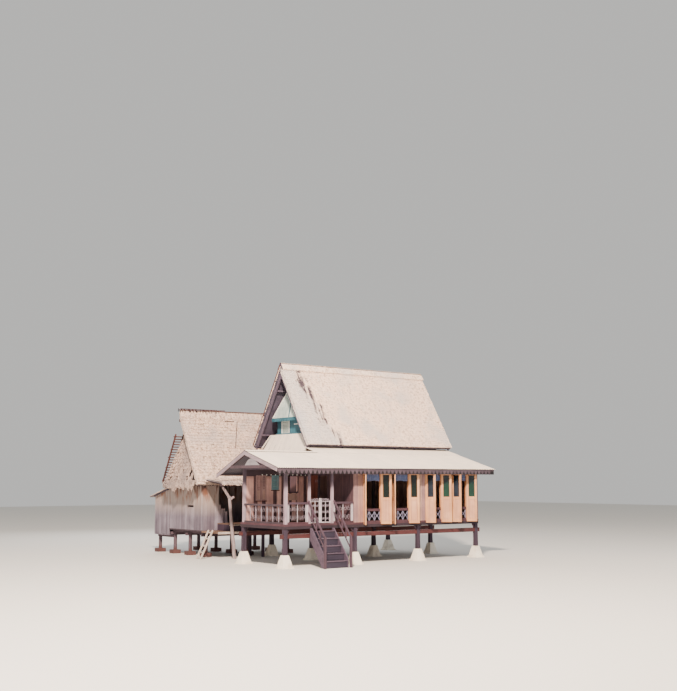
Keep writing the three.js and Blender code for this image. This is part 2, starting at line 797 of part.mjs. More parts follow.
const screenLow = 5320;
const screenPeak = 6800;
const screenLean = 0.264;
const bandLow = hallPlateTop + seat;
const apronLow = 4190;
const apronTop = 4760;
const apronLean = 0.38;
const skirtLow = 3970;
const skirtHalf = ridgeY - zincTopY - 15;
const screenThick = 30;
const screenOut = -250;
const apronOut = -300;
const screenInset = 115;
const bandInset = 15;
const shelfOut = -285;
const shelfOver = 30;
const shelfZ = [screenLow - 20, screenLow + 15];
const sillOut = -100;
const sillZ = [apronTop - 60, apronTop - 15];
const screenPostHalf = 40;
const screenPostTop = screenPeak - 150;

function leanPanel(points, thick, z0, lean) {
  const shear = new THREE.Matrix4().set(
    1, 0, lean, -lean * z0, 0, 1, 0, 0, 0, 0, 1, 0, 0, 0, 0, 1,
  );
  return alongX(points, -thick, 0).applyMatrix4(shear);
}

// The screen stands at x = 0 and leans out towards -X
function gableScreen() {
  const halfAt = (z) => (thatchInner(ridgeY) - z) / mainSlope - screenInset;
  const triangle = (z0, z1) => [
    [ridgeY - halfAt(z0), z0], [ridgeY + halfAt(z0), z0],
    [ridgeY + halfAt(z1), z1], [ridgeY - halfAt(z1), z1],
  ];
  const upper = leanPanel(triangle(screenLow, screenPeak), screenThick, screenLow, screenLean)
    .translate(screenOut, 0, 0);
  const bandWide = halfAt(screenLow) - bandInset;
  const band = alongX([
    [ridgeY - bandWide, bandLow], [ridgeY + bandWide, bandLow],
    [ridgeY + bandWide, screenLow], [ridgeY - bandWide, screenLow],
  ], -screenThick, 0);
  const [footNear, footFar, topFar, topNear] = triangle(apronLow, apronTop);
  const apron = leanPanel([
    footNear, [ridgeY - skirtHalf, apronLow], [ridgeY - skirtHalf, skirtLow],
    [ridgeY + skirtHalf, skirtLow], [ridgeY + skirtHalf, apronLow], footFar, topFar, topNear,
  ], screenThick, apronLow, apronLean).translate(apronOut, 0, 0);
  return join([
    upper,
    band,
    apron,
    box(shelfOut, 0, ridgeY - bandWide - shelfOver, ridgeY + bandWide + shelfOver, ...shelfZ),
    box(sillOut, 0, ridgeY - bandWide, ridgeY + bandWide, ...sillZ),
    box(-screenThick, 0, ridgeY - screenPostHalf, ridgeY + screenPostHalf, screenLow, screenPostTop),
  ]);
}

const screenShape = gableScreen();
piece('left_gable_screen', gablePale, screenShape).position.set(bay, 0, 0);
const rightScreen = piece('right_gable_screen', gablePale, screenShape);
rightScreen.position.set(3 * bay, 2 * ridgeY, 0);
rightScreen.rotation.z = Math.PI;

// Annex on round stilts with low blocks

const annexStiltX = [600, 2500, 4400];
const annexStiltY = [6350, 7600, 8850];
const leanToStiltX = [600, 2400];
const leanToStiltY = 10150;
const blockHigh = 150;
const blockHalf = 170;
const bearer = 90;
const annexStiltRadius = 75;
const stiltIntoBlock = 10;
const stiltBelowFrame = 20;
const annexFrameTop = 950;
const leanToFrameTop = leanToFloor - 50;

function annexStilt(x, y, top) {
  return [
    pole([x, y, blockHigh - stiltIntoBlock], [x, y, top - stiltBelowFrame], annexStiltRadius),
    box(x - blockHalf, x + blockHalf, y - blockHalf, y + blockHalf, 0, blockHigh),
  ];
}
piece('annex_stilts', darkPost, join([
  ...annexStiltX.flatMap((x) => annexStiltY.flatMap((y) => annexStilt(x, y, annexFrameTop))),
  ...leanToStiltX.flatMap((x) => annexStilt(x, leanToStiltY, leanToFrameTop)),
  ...annexStiltX.map((x) => box(
    x - bearer / 2, x + bearer / 2, annexFront, annexBack, annexFrameTop - bearer, annexFrameTop,
  )),
  ...annexStiltY.map((y) => box(
    annexLeft, annexRight, y - bearer / 2, y + bearer / 2,
    annexFrameTop - 2 * bearer, annexFrameTop - bearer + 5,
  )),
  ...leanToStiltX.map((x) => box(
    x - bearer / 2, x + bearer / 2, annexBack - 200, leanToBack, leanToFrameTop - bearer, leanToFrameTop,
  )),
]));

piece('annex_floor', floorWood, box(
  annexLeft, annexRight, annexFront, annexBack, annexFrameTop, annexFloorTop,
));

// Annex walls as one plank shell, with a broken part beside the doorway to the passage

const annexDoorX = [1450, 2600];
const brokenX = 1050;
const brokenTop = [1950, 1650];
const annexDoorTop = 2700;
const annexBackDoorX = [1300, 2100];
const slitY = [7000, 7490];
const slitZ = [1880, 1950];
const cutOut = 50;
const cutIn = 100;
const leanToHighY = annexBack + 60;
const leanToHighZ = 2560;
const leanToSlope = 0.2282;
const leanToUnder = (y) => leanToHighZ - (y - leanToHighY) * leanToSlope;
function annexWalls() {
  const room = cut(box(annexLeft, annexRight, annexFront, annexBack, annexFloorTop, annexWallTop), [
    box(annexLeft + annexWall, annexRight - annexWall, annexFront + annexWall, annexBack - annexWall,
      annexFloorTop - 10, annexWallTop + 10),
  ]);
  const leanTo = cut(
    alongX([
      [annexBack + 20, leanToFrameTop], [leanToBack, leanToFrameTop],
      [leanToBack, leanToUnder(leanToBack) - seat], [annexBack - 20, leanToUnder(annexBack - 20) - seat],
      [annexBack - 20, annexFloorTop], [annexBack + 20, annexFloorTop],
    ], annexLeft, leanToRight),
    [
      box(annexLeft + annexWall, leanToRight + 10, annexBack - 30, leanToBack - annexWall,
        leanToFloor, annexWallTop),
    ],
  );
  return cut(join([room, leanTo]), [
    box(...annexDoorX, annexFront - cutOut, annexFront + cutIn, annexFloorTop - 10, annexDoorTop),
    alongY([
      [brokenX, brokenTop[0]], [annexDoorX[0] + 10, brokenTop[1]],
      [annexDoorX[0] + 10, annexDoorTop], [brokenX, annexDoorTop],
    ], annexFront - cutOut, annexFront + cutIn),
    box(annexLeft - cutOut, annexLeft + cutIn, ...slitY, ...slitZ),
    box(...annexBackDoorX, annexBack - cutIn, annexBack + cutOut, annexFloorTop - 10, annexDoorTop),
  ]);
}

piece('annex_walls', annexGrey, annexWalls());

// Annex thatch

const annexRoofLeft = 0;
const annexRoofRight = 5000;
const bareRight = 450;
const frontAnnex = thatchOutline(annexEaveY, annexEaveZ, annexRidgeY - ridgeSplit, annexRidgeZ, annexThatch);
const backAnnex = thatchOutline(
  2 * annexRidgeY - annexEaveY, annexEaveZ, annexRidgeY + ridgeSplit, annexRidgeZ, annexThatch,
);
const annexSlope = Math.abs(frontAnnex.slope);
piece('annex_thatch_front', thatchCream, alongX(frontAnnex.points, annexRoofLeft, annexRoofRight));
piece('annex_thatch_back', thatchCream, alongX(backAnnex.points, bareRight, annexRoofRight));

const leanToEaveY = 10550;
const leanToThick = 70;
const leanToOver = 150;
piece('lean_to_roof', thatchCream, alongX([
  [leanToHighY, leanToHighZ], [leanToEaveY, leanToUnder(leanToEaveY)],
  [leanToEaveY, leanToUnder(leanToEaveY) + leanToThick], [leanToHighY, leanToHighZ + leanToThick],
], annexLeft - leanToOver, leanToRight + leanToOver));

// Poles under the annex thatch, with the battens bare at the left of the back slope

const annexInner = (offset) => (
  frontAnnex.innerEave[1] + (annexRidgeY - offset - frontAnnex.innerEave[0]) * annexSlope
);
const annexPoleX = [400, 1500, 2700, 3900, 4900];
const endPoleX = 190;
const barePoleX = 50;
const barePoleTop = 360;
const annexPoleDrop = 75;
const annexPoleHalf = 30;
const bareHalf = 16;
const bareBoardHalf = 40;
const bareDeep = [-25, 20];
const annexBeamX = [20, 4980];
const annexPlateX = [60, 4980];
const annexRidgeHalf = 40;
const annexRidgeDrop = [190, 80];
const annexPlateWide = 90;
const annexPlateZ = [annexWallTop + seat, annexWallTop + 80];
const gableTieX = [400, 460];
const gableHangerX = [60, 120];
const gableHangerZ = [annexWallTop - 70, annexWallTop + 80];
function annexPole(x, side, reach, top = 0) {
  const at = (offset) => annexRidgeY + side * offset;
  return alongX([
    [at(top), annexInner(top) - roofSeat], [at(reach), annexInner(reach) - roofSeat],
    [at(reach), annexInner(reach) - annexPoleDrop], [at(top), annexInner(top) - annexPoleDrop],
  ], x - annexPoleHalf, x + annexPoleHalf);
}
const bareCount = 18;
const bareFirst = 420;
const barePitch = 56;
const bareBoards = [0, 8];
const bareStarts = [0, 70, 20, 45, 90, 10, 60, 30, 0, 55, 25, 80, 5, 40, 15, 65, 35, 10];
const annexReach = 1400;
piece('annex_roof_poles', battenRed, join([
  ...annexPoleX.flatMap((x) => [annexPole(x, -1, annexReach), annexPole(x, 1, annexReach)]),
  annexPole(endPoleX, -1, annexReach),
  annexPole(barePoleX, 1, annexReach, barePoleTop),
  ...bareStarts.slice(0, bareCount).map((start, index) => {
    const offset = bareFirst + index * barePitch;
    const half = bareBoards.includes(index) ? bareBoardHalf : bareHalf;
    const z = annexInner(offset);
    const y = annexRidgeY + offset;
    return box(start, bareRight - seat, y - half, y + half, z + bareDeep[0], z + bareDeep[1]);
  }),
  box(...annexBeamX, annexRidgeY - annexRidgeHalf, annexRidgeY + annexRidgeHalf,
    annexInner(0) - annexRidgeDrop[0], annexInner(0) - annexRidgeDrop[1]),
  box(...annexPlateX, annexFront, annexFront + annexPlateWide, ...annexPlateZ),
  box(...annexPlateX, annexBack - annexPlateWide, annexBack, ...annexPlateZ),
  box(...gableTieX, annexFront, annexBack, ...annexPlateZ),
  box(...gableHangerX, annexFront, annexBack, ...gableHangerZ),
]));

const apronPeakZ = 4750;
const apronBaseZ = 2730;
const apronBack = 1230;
const apronFront = 1424;
const apronPeakBack = 40;
const apronPeakFront = 314;
const apronThick = 90;
const annexGableLean = 0.15;
const annexGableOut = 37;
piece('annex_gable_thatch', thatchCream, leanPanel([
  [annexRidgeY - apronFront, apronBaseZ], [annexRidgeY + apronBack, apronBaseZ],
  [annexRidgeY + apronPeakBack, apronPeakZ], [annexRidgeY - apronPeakFront, apronPeakZ],
], apronThick, apronBaseZ, annexGableLean).translate(annexGableOut, 0, 0));

// Passage between the wing and the annex

const passageFront = 4900;
const passageLeft = 300;
const passageRight = hallLeftOut;
const passageStiltX = 2300;
const passageStilt = 100;
const platformRight = bay - girderEnd - seat;
const stepLeft = 1000;
const stepFront = passageFront + 350;
const passageStiltY = [passageFront + 60, annexFront - 300];
const passageRoofLeft = 250;
const passageEave = [4600, 2790];
const passageHigh = [5950, 2950];
const passageSheet = 25;
const passageBeamY = [4640, 4700];
const passageBeamZ = [2700, 2800];
piece('passage_floor', floorWood, join([
  box(passageLeft, platformRight, passageFront, annexFront - seat, annexFrameTop - 20, annexFloorTop),
  box(stepLeft, platformRight, stepFront, annexFront - seat, annexFloorTop - 5, frameLow),
  ...passageStiltY.map((y) => box(
    passageStiltX, passageStiltX + passageStilt, y, y + passageStilt, 0, annexFrameTop - 15,
  )),
]));
piece('passage_roof', zincCream, join([
  alongX([
    passageEave, passageHigh,
    [passageHigh[0], passageHigh[1] + passageSheet], [passageEave[0], passageEave[1] + passageSheet],
  ], passageRoofLeft, passageRight - seat),
  box(passageRoofLeft, passageRight - seat, ...passageBeamY, ...passageBeamZ),
]));

// What stands on the ground in poles is cut flat there
const underGround = box(-1000, 2000, 4000, 6500, -300, 0);

// Natural forked post that carries the passage roof
const forkFoot = [952, 4790, -60];
const forkKnee = [672, 4770, 2330];
const forkSplit = [690, 4772, 2240];
const forkTop = [330, 4670, 2667];
const stubFoot = [680, 4770, 2190];
const stubTop = [860, 4750, 2300];
const forkRadius = 68;
const armRadius = 52;
const stubRadius = 48;
piece('forked_post', paleLog, cut(join([
  pole(forkFoot, forkKnee, forkRadius),
  pole(forkSplit, forkTop, armRadius),
  pole(stubFoot, stubTop, stubRadius),
]), [underGround]));

// Log ladder to the passage floor
const ladderFoot = [-257, -60];
const ladderTop = [282, 1050];
const ladderY = [5300, 5600];
const railRadius = 40;
const rungRadius = 28;
const rungOver = 40;
const ladderRungs = [0.27, 0.48, 0.72, 0.92];
function ladder() {
  const rails = ladderY.map((y) => (
    pole([ladderFoot[0], y, ladderFoot[1]], [ladderTop[0], y, ladderTop[1]], railRadius)
  ));
  const rungs = ladderRungs.map((share) => {
    const x = ladderFoot[0] + share * (ladderTop[0] - ladderFoot[0]);
    const z = ladderFoot[1] + share * (ladderTop[1] - ladderFoot[1]);
    return pole([x, ladderY[0] - rungOver, z], [x, ladderY[1] + rungOver, z], rungRadius, 6);
  });
  return cut(join([...rails, ...rungs]), [underGround]);
}
piece('log_ladder', paleLog, ladder());

export default house;
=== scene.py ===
import math
import random

import bpy
import bmesh
from mathutils import Matrix, Vector


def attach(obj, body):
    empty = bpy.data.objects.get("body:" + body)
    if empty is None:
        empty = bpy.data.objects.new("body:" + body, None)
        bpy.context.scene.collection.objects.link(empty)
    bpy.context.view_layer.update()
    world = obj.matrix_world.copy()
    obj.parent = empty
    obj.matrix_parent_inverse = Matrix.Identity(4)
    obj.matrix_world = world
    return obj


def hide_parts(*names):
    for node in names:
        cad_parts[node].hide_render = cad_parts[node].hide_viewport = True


# A timber house on stilts: thatched hall, zinc-roofed front with an open corner verandah, and a
# thatched kitchen annex. Metres, X along the front, Y towards the back, Z up.

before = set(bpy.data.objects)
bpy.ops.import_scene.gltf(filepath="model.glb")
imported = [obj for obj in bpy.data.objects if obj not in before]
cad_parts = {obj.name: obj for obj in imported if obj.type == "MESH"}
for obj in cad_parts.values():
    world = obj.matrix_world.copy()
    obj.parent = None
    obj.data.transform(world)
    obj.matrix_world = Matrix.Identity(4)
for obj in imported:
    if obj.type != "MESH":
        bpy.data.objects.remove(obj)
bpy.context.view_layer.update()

# Camera: at eye height from the front left, a little tilted up

EYE = (-19.68, -29.29, 2.88)
LOOK = (0.5993, 0.8005)
TILT_UP = math.radians(7.49)
LENS_MM = 53.9

camera_data = bpy.data.cameras.new("view")
camera_data.lens = LENS_MM
camera_data.sensor_width = 36
camera = bpy.data.objects.new("view", camera_data)
bpy.context.scene.collection.objects.link(camera)
camera.location = EYE
sight = Vector((LOOK[0] * math.cos(TILT_UP), LOOK[1] * math.cos(TILT_UP), math.sin(TILT_UP)))
camera.rotation_euler = sight.to_track_quat("-Z", "Y").to_euler()
bpy.context.scene.camera = camera


# Finishes

# The share of a noise's range over which a soft patch comes in
SOFT = (0.42, 0.62)


def hex_colour(text):
    """An sRGB hex value as linear red, green, blue and alpha."""
    parts = [int(text[i:i + 2], 16) / 255 for i in (1, 3, 5)]
    return [c / 12.92 if c <= 0.04045 else ((c + 0.055) / 1.055) ** 2.4 for c in parts] + [1]


def add(tree, kind, inputs=None, **settings):
    """Adds a node with its settings, and links or sets its inputs: a text is a hex colour."""
    node = tree.nodes.new("ShaderNode" + kind)
    for key, value in settings.items():
        setattr(node, key, value)
    for key, value in (inputs or {}).items():
        if isinstance(value, bpy.types.NodeSocket):
            tree.links.new(value, node.inputs[key])
        else:
            node.inputs[key].default_value = hex_colour(value) if isinstance(value, str) else value
    return node


def start_finish(name):
    material = bpy.data.materials.new(name)
    material.use_nodes = True
    return material, material.node_tree


def end_finish(material, colour, rough, pattern, relief, strength):
    """Joins the colour, the roughness and a raised pattern, relief metres deep, to the surface."""
    tree = material.node_tree
    surface = tree.nodes["Principled BSDF"].inputs
    tree.links.new(colour, surface["Base Color"])
    if isinstance(rough, float):
        surface["Roughness"].default_value = rough
    else:
        tree.links.new(rough, surface["Roughness"])
    raised = add(tree, "Bump", {"Height": pattern, "Distance": relief, "Strength": strength})
    tree.links.new(raised.outputs["Normal"], surface["Normal"])
    return material


def uneven(tree, size, detail=3):
    """Uneven patches about this long in metres, or this long along X, Y and Z."""
    sizes = size if isinstance(size, tuple) else (size,) * 3
    place = add(tree, "TexCoord").outputs["Object"]
    space = add(tree, "Mapping", {"Vector": place, "Scale": [1 / s for s in sizes]}).outputs["Vector"]
    return add(tree, "TexNoise", {"Vector": space, "Scale": 1, "Detail": detail}).outputs["Fac"]


def lay(tree, colour, *layers):
    """Lays colours over the first one. Each layer is (pattern, from, to, share, colour): it comes
    in while the pattern goes from one value to the other, up to this share."""
    for pattern, low, high, share, over in layers:
        spread = {"Value": pattern, "From Min": low, "From Max": high, "To Max": share}
        amount = add(tree, "MapRange", spread).outputs[0]
        colour = add(tree, "Mix", {0: amount, 6: colour, 7: over}, data_type="RGBA").outputs[2]
    return colour


def timber(name, pale, dark, stain, run="Z", grain=0.012, length=0.5, rough=0.78, relief=0.004, levels=()):
    """Sawn or planed boards: long streaks of grain, one tone to each board, stains in patches.
    The grain is drawn coarser than real so that it shows from across a field. Each level is
    (from height, to height, colour, share, patchy): the colour comes in between the two heights."""
    material, tree = start_finish(name)
    lines = uneven(tree, tuple(length if axis == run else grain for axis in "XYZ"), 5)
    broad = uneven(tree, tuple(length * 3 if axis == run else grain * 5 for axis in "XYZ"))
    each = add(tree, "NewGeometry").outputs["Random Per Island"]
    colour = lay(tree, pale, (each, 0, 1, 0.75, dark), (lines, 0.35, 0.68, 0.45, dark),
                 (broad, 0.5, 0.72, 0.6, stain), (uneven(tree, 0.5), *SOFT, 0.35, stain))
    place = add(tree, "TexCoord").outputs["Object"]
    height = add(tree, "SeparateXYZ", {"Vector": place}).outputs["Z"]
    for low, high, tint, share, patchy in levels:
        if patchy:
            runs = {"Value": uneven(tree, (0.16, 0.16, 0.7), 4), "From Min": 0.46, "From Max": 0.6}
            torn = add(tree, "MapRange", runs).outputs[0]
            rising = add(tree, "MapRange", {"Value": height, "From Min": low, "From Max": high}).outputs[0]
            both = add(tree, "Math", {0: rising, 1: torn}, operation="MULTIPLY").outputs[0]
            colour = lay(tree, colour, (both, 0, 1, share, tint))
        else:
            colour = lay(tree, colour, (height, low, high, share, tint))
    gloss = add(tree, "MapRange", {"Value": lines, "To Min": rough - 0.1, "To Max": rough + 0.12}).outputs[0]
    return end_finish(material, colour, gloss, lines, relief, 0.6)


def painted_palm_shadow_layers(tree, edge, eave_z, lean):
    """Painted shadow of palm fronds across the left rake: blue-grey up to a slanting line, and broken dark
    streaks along that line.
    """
    place = add(tree, "TexCoord").outputs["Object"]
    axes = add(tree, "SeparateXYZ", {"Vector": place}).outputs
    level = add(tree, "Math", {0: axes["Z"], 1: eave_z}, operation="SUBTRACT").outputs[0]
    slanted = add(tree, "Math", {0: level, 1: lean, 2: axes["X"]}, operation="MULTIPLY_ADD").outputs[0]
    ragged = uneven(tree, 1 / 3.5, 6)
    shaken = add(tree, "Math", {0: ragged, 1: 1.1, 2: slanted}, operation="MULTIPLY_ADD").outputs[0]
    beyond = add(tree, "Math", {0: shaken, 1: edge}, operation="SUBTRACT").outputs[0]
    apart = add(tree, "Math", {0: beyond}, operation="ABSOLUTE").outputs[0]
    near = add(tree, "MapRange", {"Value": apart, "From Min": 0.28, "From Max": 0.06}).outputs[0]
    broken = {"Value": uneven(tree, (1 / 9, 1 / 1.1, 1 / 1.1), 5), "From Min": 0.44, "From Max": 0.53}
    gaps = add(tree, "MapRange", broken).outputs[0]
    streak = add(tree, "Math", {0: near, 1: gaps}, operation="MULTIPLY").outputs[0]
    # Blue-grey painted palm shadow, then its broken dark edge
    return (shaken, edge + 0.1, edge - 0.2, 0.45, "#b4bac2"), (streak, 0, 1, 1, "#54464e")


def palm_thatch(name, pale, middle, grey, shade, painted_palm_shadow=None, specks=0.0):
    """Sewn palm leaf bleached by the sun: fine strands down the slope, leaf by leaf tones, and
    broad blue-grey patches where old leaf shows."""
    material, tree = start_finish(name)
    strands = uneven(tree, (1 / 90, 1 / 6, 1 / 6), 6)
    each = add(tree, "NewGeometry").outputs["Random Per Island"]
    old = {"Value": uneven(tree, 1.1, 4), "From Min": 0.5, "From Max": 0.68, "To Max": 0.75}
    runs = {"Value": uneven(tree, (1 / 3.5, 2, 2), 4), "From Min": 0.55, "From Max": 0.75, "To Max": 0.5}
    ages = [add(tree, "MapRange", spread).outputs[0] for spread in (old, runs)]
    worn = add(tree, "Math", {0: ages[0], 1: ages[1]}, operation="MAXIMUM").outputs[0]
    colour = lay(tree, pale, (each, 0.3, 1, 0.8, middle), (strands, 0.4, 0.75, 0.6, middle),
                 (uneven(tree, 1 / 11, 5), 0.5, 0.66, 0.8, shade), (worn, 0, 1, 1, grey))
    # Painted shadow of palm fronds over the left corner of the slope
    if painted_palm_shadow:
        colour = lay(tree, colour, *painted_palm_shadow_layers(tree, *painted_palm_shadow))
    if specks:
        colour = lay(tree, colour, (uneven(tree, 1 / 22), 0.62, 0.7, specks, "#6e5648"))
    return end_finish(material, colour, 0.95, strands, 0.01, 0.8)


def rolled_zinc(name, pale, dull, rust):
    """Galvanised sheet gone chalky: cloudy oxide, a tone to each sheet, thin rust runs downhill, and painted
    shade on the underside."""
    material, tree = start_finish(name)
    each = add(tree, "NewGeometry").outputs["Random Per Island"]
    runs = uneven(tree, (1 / 14, 1 / 0.9, 1 / 0.9), 5)
    facing = add(tree, "TexCoord").outputs["Normal"]
    up = add(tree, "SeparateXYZ", {"Vector": facing}).outputs["Z"]
    # Faces that look down are painted dark as shade
    colour = lay(tree, pale, (each, 0, 1, 0.55, dull), (uneven(tree, 0.35, 5), *SOFT, 0.4, dull),
                 (runs, 0.62, 0.8, 0.25, rust), (up, 0.1, -0.1, 1, "#4c4650"))
    gloss = add(tree, "MapRange", {"Value": runs, "To Min": 0.42, "To Max": 0.75}).outputs[0]
    tree.nodes["Principled BSDF"].inputs["Metallic"].default_value = 0.12
    return end_finish(material, colour, gloss, runs, 0.002, 0.4)


def brushed_coat(name, coat, worn, rough, patch, amount, relief):
    """Brush-painted or limewashed surface: the coat thins in patches and shows what is under it."""
    material, tree = start_finish(name)
    thin = uneven(tree, patch, 6)
    colour = lay(tree, coat, (thin, 0.5, 0.72, amount, worn),
                 (uneven(tree, patch * 0.12, 4), 0.62, 0.75, amount * 0.6, worn))
    spread = {"Value": thin, "From Min": 0.5, "From Max": 0.72}
    spread.update({"To Min": rough, "To Max": rough + 0.3 * amount})
    gloss = add(tree, "MapRange", spread).outputs[0]
    return end_finish(material, colour, gloss, uneven(tree, patch / 4, 8), relief, 0.7)


def figured_glass(name, deep, light, upper):
    """Cast pattern glass in front of a dark room: a small raised diamond pattern, 20 mm apart, and painted
    shade from the eave towards the top."""
    material, tree = start_finish(name)
    place = add(tree, "TexCoord").outputs["Object"]
    turned = add(tree, "Mapping", {"Vector": place, "Rotation": (0, math.radians(45), 0)}).outputs["Vector"]
    lattice = add(tree, "TexVoronoi", {"Vector": turned, "Scale": 1 / 0.02, "Randomness": 0.0})
    height = add(tree, "SeparateXYZ", {"Vector": place}).outputs["Z"]
    # The last colour is the eave's painted shadow over the upper pane
    colour = lay(tree, deep, (uneven(tree, 0.3), *SOFT, 0.6, light), (height, 2.7, 2.95, 1, upper))
    tree.nodes["Principled BSDF"].inputs["IOR"].default_value = 1.52
    return end_finish(material, colour, 0.18, lattice.outputs["Distance"], 0.002, 0.6)


def woven_cotton(name, fresh, shade):
    """Plain cotton, washed thin: a faint weave, drawn at 4 mm so that it shows, and soft darker patches
    painted as the shade of folds.
    """
    material, tree = start_finish(name)
    place = add(tree, "TexCoord").outputs["Object"]
    weave = add(tree, "TexChecker", {"Vector": place, "Scale": 1 / 0.004}).outputs["Fac"]
    colour = lay(tree, fresh, (uneven(tree, 0.12), *SOFT, 0.5, shade))
    tree.nodes["Principled BSDF"].inputs["Sheen Weight"].default_value = 0.3
    return end_finish(material, colour, 0.9, weave, 0.0006, 0.4)


# Stilts, girders and floors: hardwood, bare or stained red, in the damp shade under the house
stilt_wood = timber("weathered_stilt_hardwood", "#4a3849", "#302431", "#231b28", "Z", 0.016, 0.6, 0.85)
girder_wood = timber("red_stained_girder", "#572829", "#3c1d1f", "#291719", "X", 0.014, 0.7, 0.8)
sill_wood = timber("red_stained_sill", "#5a3740", "#40262e", "#2d1d25", "X", 0.014, 0.7, 0.8)
# Painted shade: the lower sill under the floor's edge is dark as its shadow
sill_shade_wood = timber("dark_wood_painted_shade", "#36262f", "#271b24", "#1c141d", "X", 0.014, 0.7, 0.85)
deck_wood = timber("worn_floor_boards", "#8a6a58", "#5c4438", "#3e302c", "Y", 0.012, 0.6, 0.7)
pole_wood = timber("old_round_stilts", "#66525a", "#45363f", "#32262e", "Z", 0.014, 0.4, 0.85, 0.004,
                   ((0.3, 0.2, "#5c3833", 0.8, False),))
log_wood = timber("peeled_pale_log", "#dccfc2", "#ae9e94", "#7c6e6a", "Z", 0.012, 0.35, 0.8)
fork_wood = timber("weathered_forked_log", "#b8a6a4", "#857476", "#5c4e54", "Z", 0.014, 0.35, 0.85)

# Walls: planks oiled, faded pink, painted dark as shade, or silvered by the weather
hall_planks = timber("oiled_wall_planks", "#d2b09c", "#a07670", "#704a50", "Z", 0.014, 0.7, 0.68)
pink_planks = timber("faded_wall_planks", "#bc9690", "#86686a", "#60484f", "Z", 0.014, 0.7, 0.75)
painted_shade_planks = timber("wall_planks_painted_shade", "#674a4a", "#452f38", "#2f2230", "Z", 0.014, 0.7, 0.8)
# Painted shade: the verandah's back wall darkens at the top, under the roof
shade_planks = timber("wall_planks_painted_shade_at_top", "#f0bcb0", "#b4887f", "#7e5a60", "Z", 0.014, 0.7, 0.8, 0.004,
                      ((2.95, 3.15, "#2b2029", 0.85, False),))
# Painted shade: the patchy dark band from 2.35 to 2.7 m stands for the ragged shadow of the thatch eave
annex_wood = timber("silvered_planks_painted_shade_top", "#9c929e", "#5e525e", "#463a47", "Z", 0.018, 0.6, 0.9, 0.004,
                    ((1.5, 2.1, "#c4ae9c", 0.5, False), (1.9, 2.4, "#7e4a2c", 0.9, True),
                     (2.35, 2.7, "#33242a", 0.9, True)))

# Posts, rails, stair, door and shutters: planed timber, varnished, stained or worn bare
# Painted shade: the posts turn dark from 2.5 to 2.9 m, where the eave's shadow falls
post_wood = timber("verandah_post_timber_painted_shade_top", "#b8a2ac", "#8c747e", "#64525d", "Z", 0.014, 0.6, 0.75, 0.004,
                   ((2.5, 2.9, "#3a2f3e", 0.85, False),))
rail_wood = timber("faded_rail_timber", "#563f4c", "#3f2d38", "#2c2129", "Z", 0.012, 0.6, 0.7)
stair_wood = timber("worn_stair_treads", "#62505f", "#483a4a", "#322837", "X", 0.014, 0.5, 0.8)
riser_wood = timber("dark_stair_risers", "#3b3143", "#2a2333", "#1d1825", "X", 0.014, 0.5, 0.8)
door_wood = timber("red_door_timber", "#8e4e3e", "#5e2c26", "#40221f", "Z", 0.012, 0.5, 0.6, 0.003)
leaf_wood = timber("varnished_shutter_timber", "#e4ac7e", "#c88a60", "#9a6246", "Z", 0.010, 0.5, 0.5, 0.002)
panel_wood = timber("shutter_panel_timber", "#dba684", "#c08a6c", "#96624c", "Z", 0.010, 0.5, 0.55, 0.002)

# Roof timber, gable boards and trim: bare, darkened as painted shade under the roof, or painted and faded
beam_wood = timber("roof_frame_timber", "#54424a", "#382c34", "#282028", "X", 0.014, 0.6, 0.85)
rafter_wood = timber("shaded_roof_rafters", "#6f6070", "#4c4252", "#383040", "Z", 0.012, 0.5, 0.85)
batten_wood = timber("round_roof_battens", "#6c3e38", "#442826", "#2c1c1c", "X", 0.010, 0.4, 0.85)
barge_wood = timber("faded_barge_boards", "#a8969e", "#84727a", "#5c4c56", "Y", 0.012, 0.6, 0.75)
tie_wood = timber("shaded_tie_board", "#a09a9e", "#6e686f", "#4a444c", "Y", 0.014, 0.6, 0.8)
# The fringe's purple-brown is darkened further as painted shade; the board behind its teeth is painted shade
fringe_wood = timber("fringe_teeth_darkened_as_shade", "#5c4c56", "#453842", "#32272f", "X", 0.012, 0.5, 0.85)
teeth_gap_shade_wood = timber("painted_shade_behind_teeth", "#181118", "#120d13", "#0d090e", "X", 0.014, 0.6, 0.9)
gable_wood = timber("pale_gable_boards", "#d6ded6", "#a6b8b4", "#86989a", "Z", 0.012, 0.5, 0.75)
teal_wood = timber("teal_painted_boards", "#40788a", "#285866", "#1f3f4c", "Z", 0.012, 0.4, 0.6)
pale_teal_wood = timber("faded_teal_shutter", "#86aab0", "#5c848c", "#4a6a74", "Z", 0.012, 0.4, 0.6)

# Palm leaf: sun-bleached on the hall, older and browner on the annex, painted dark as shade where seen from
# below
# The front slope carries the painted palm shadow at its left corner
roof_thatch = palm_thatch("bleached_palm_thatch", "#ffe8d6", "#e8cdb9", "#d6cbc6", "#bca18e",
                          (4.45, 4.2, 0.3))
back_thatch = palm_thatch("bleached_palm_thatch_back", "#ffe6d2", "#e6cab4", "#d2c8c4", "#b89d88")
annex_thatch = palm_thatch("old_palm_thatch", "#e6ccba", "#bda192", "#b2a5a2", "#86705f", None, 0.8)
panel_thatch = palm_thatch("worn_gable_thatch", "#d2b9ac", "#9c8478", "#8e807e", "#6c584e", None, 0.9)
# Painted shade: the thatch's bed, its lower hanging ends, the far slope's left rake and the ridge cap's left
# end
painted_shade_thatch = timber("thatch_underside_painted_shade", "#5c5362", "#403848", "#2c2634", "Z", 0.03, 0.4, 0.95)
# Painted shade: a dark slab behind the annex gable's gaps
hole_shade = timber("roof_space_painted_shade", "#1e171c", "#151014", "#0f0b0f", "Z", 0.03, 0.4, 0.95)

# Chalky zinc, limewashed concrete, brush-painted iron and fretwork, pattern glass, blue cotton
zinc = rolled_zinc("chalky_corrugated_zinc", "#fbecdc", "#e4d8cc", "#c0a894")
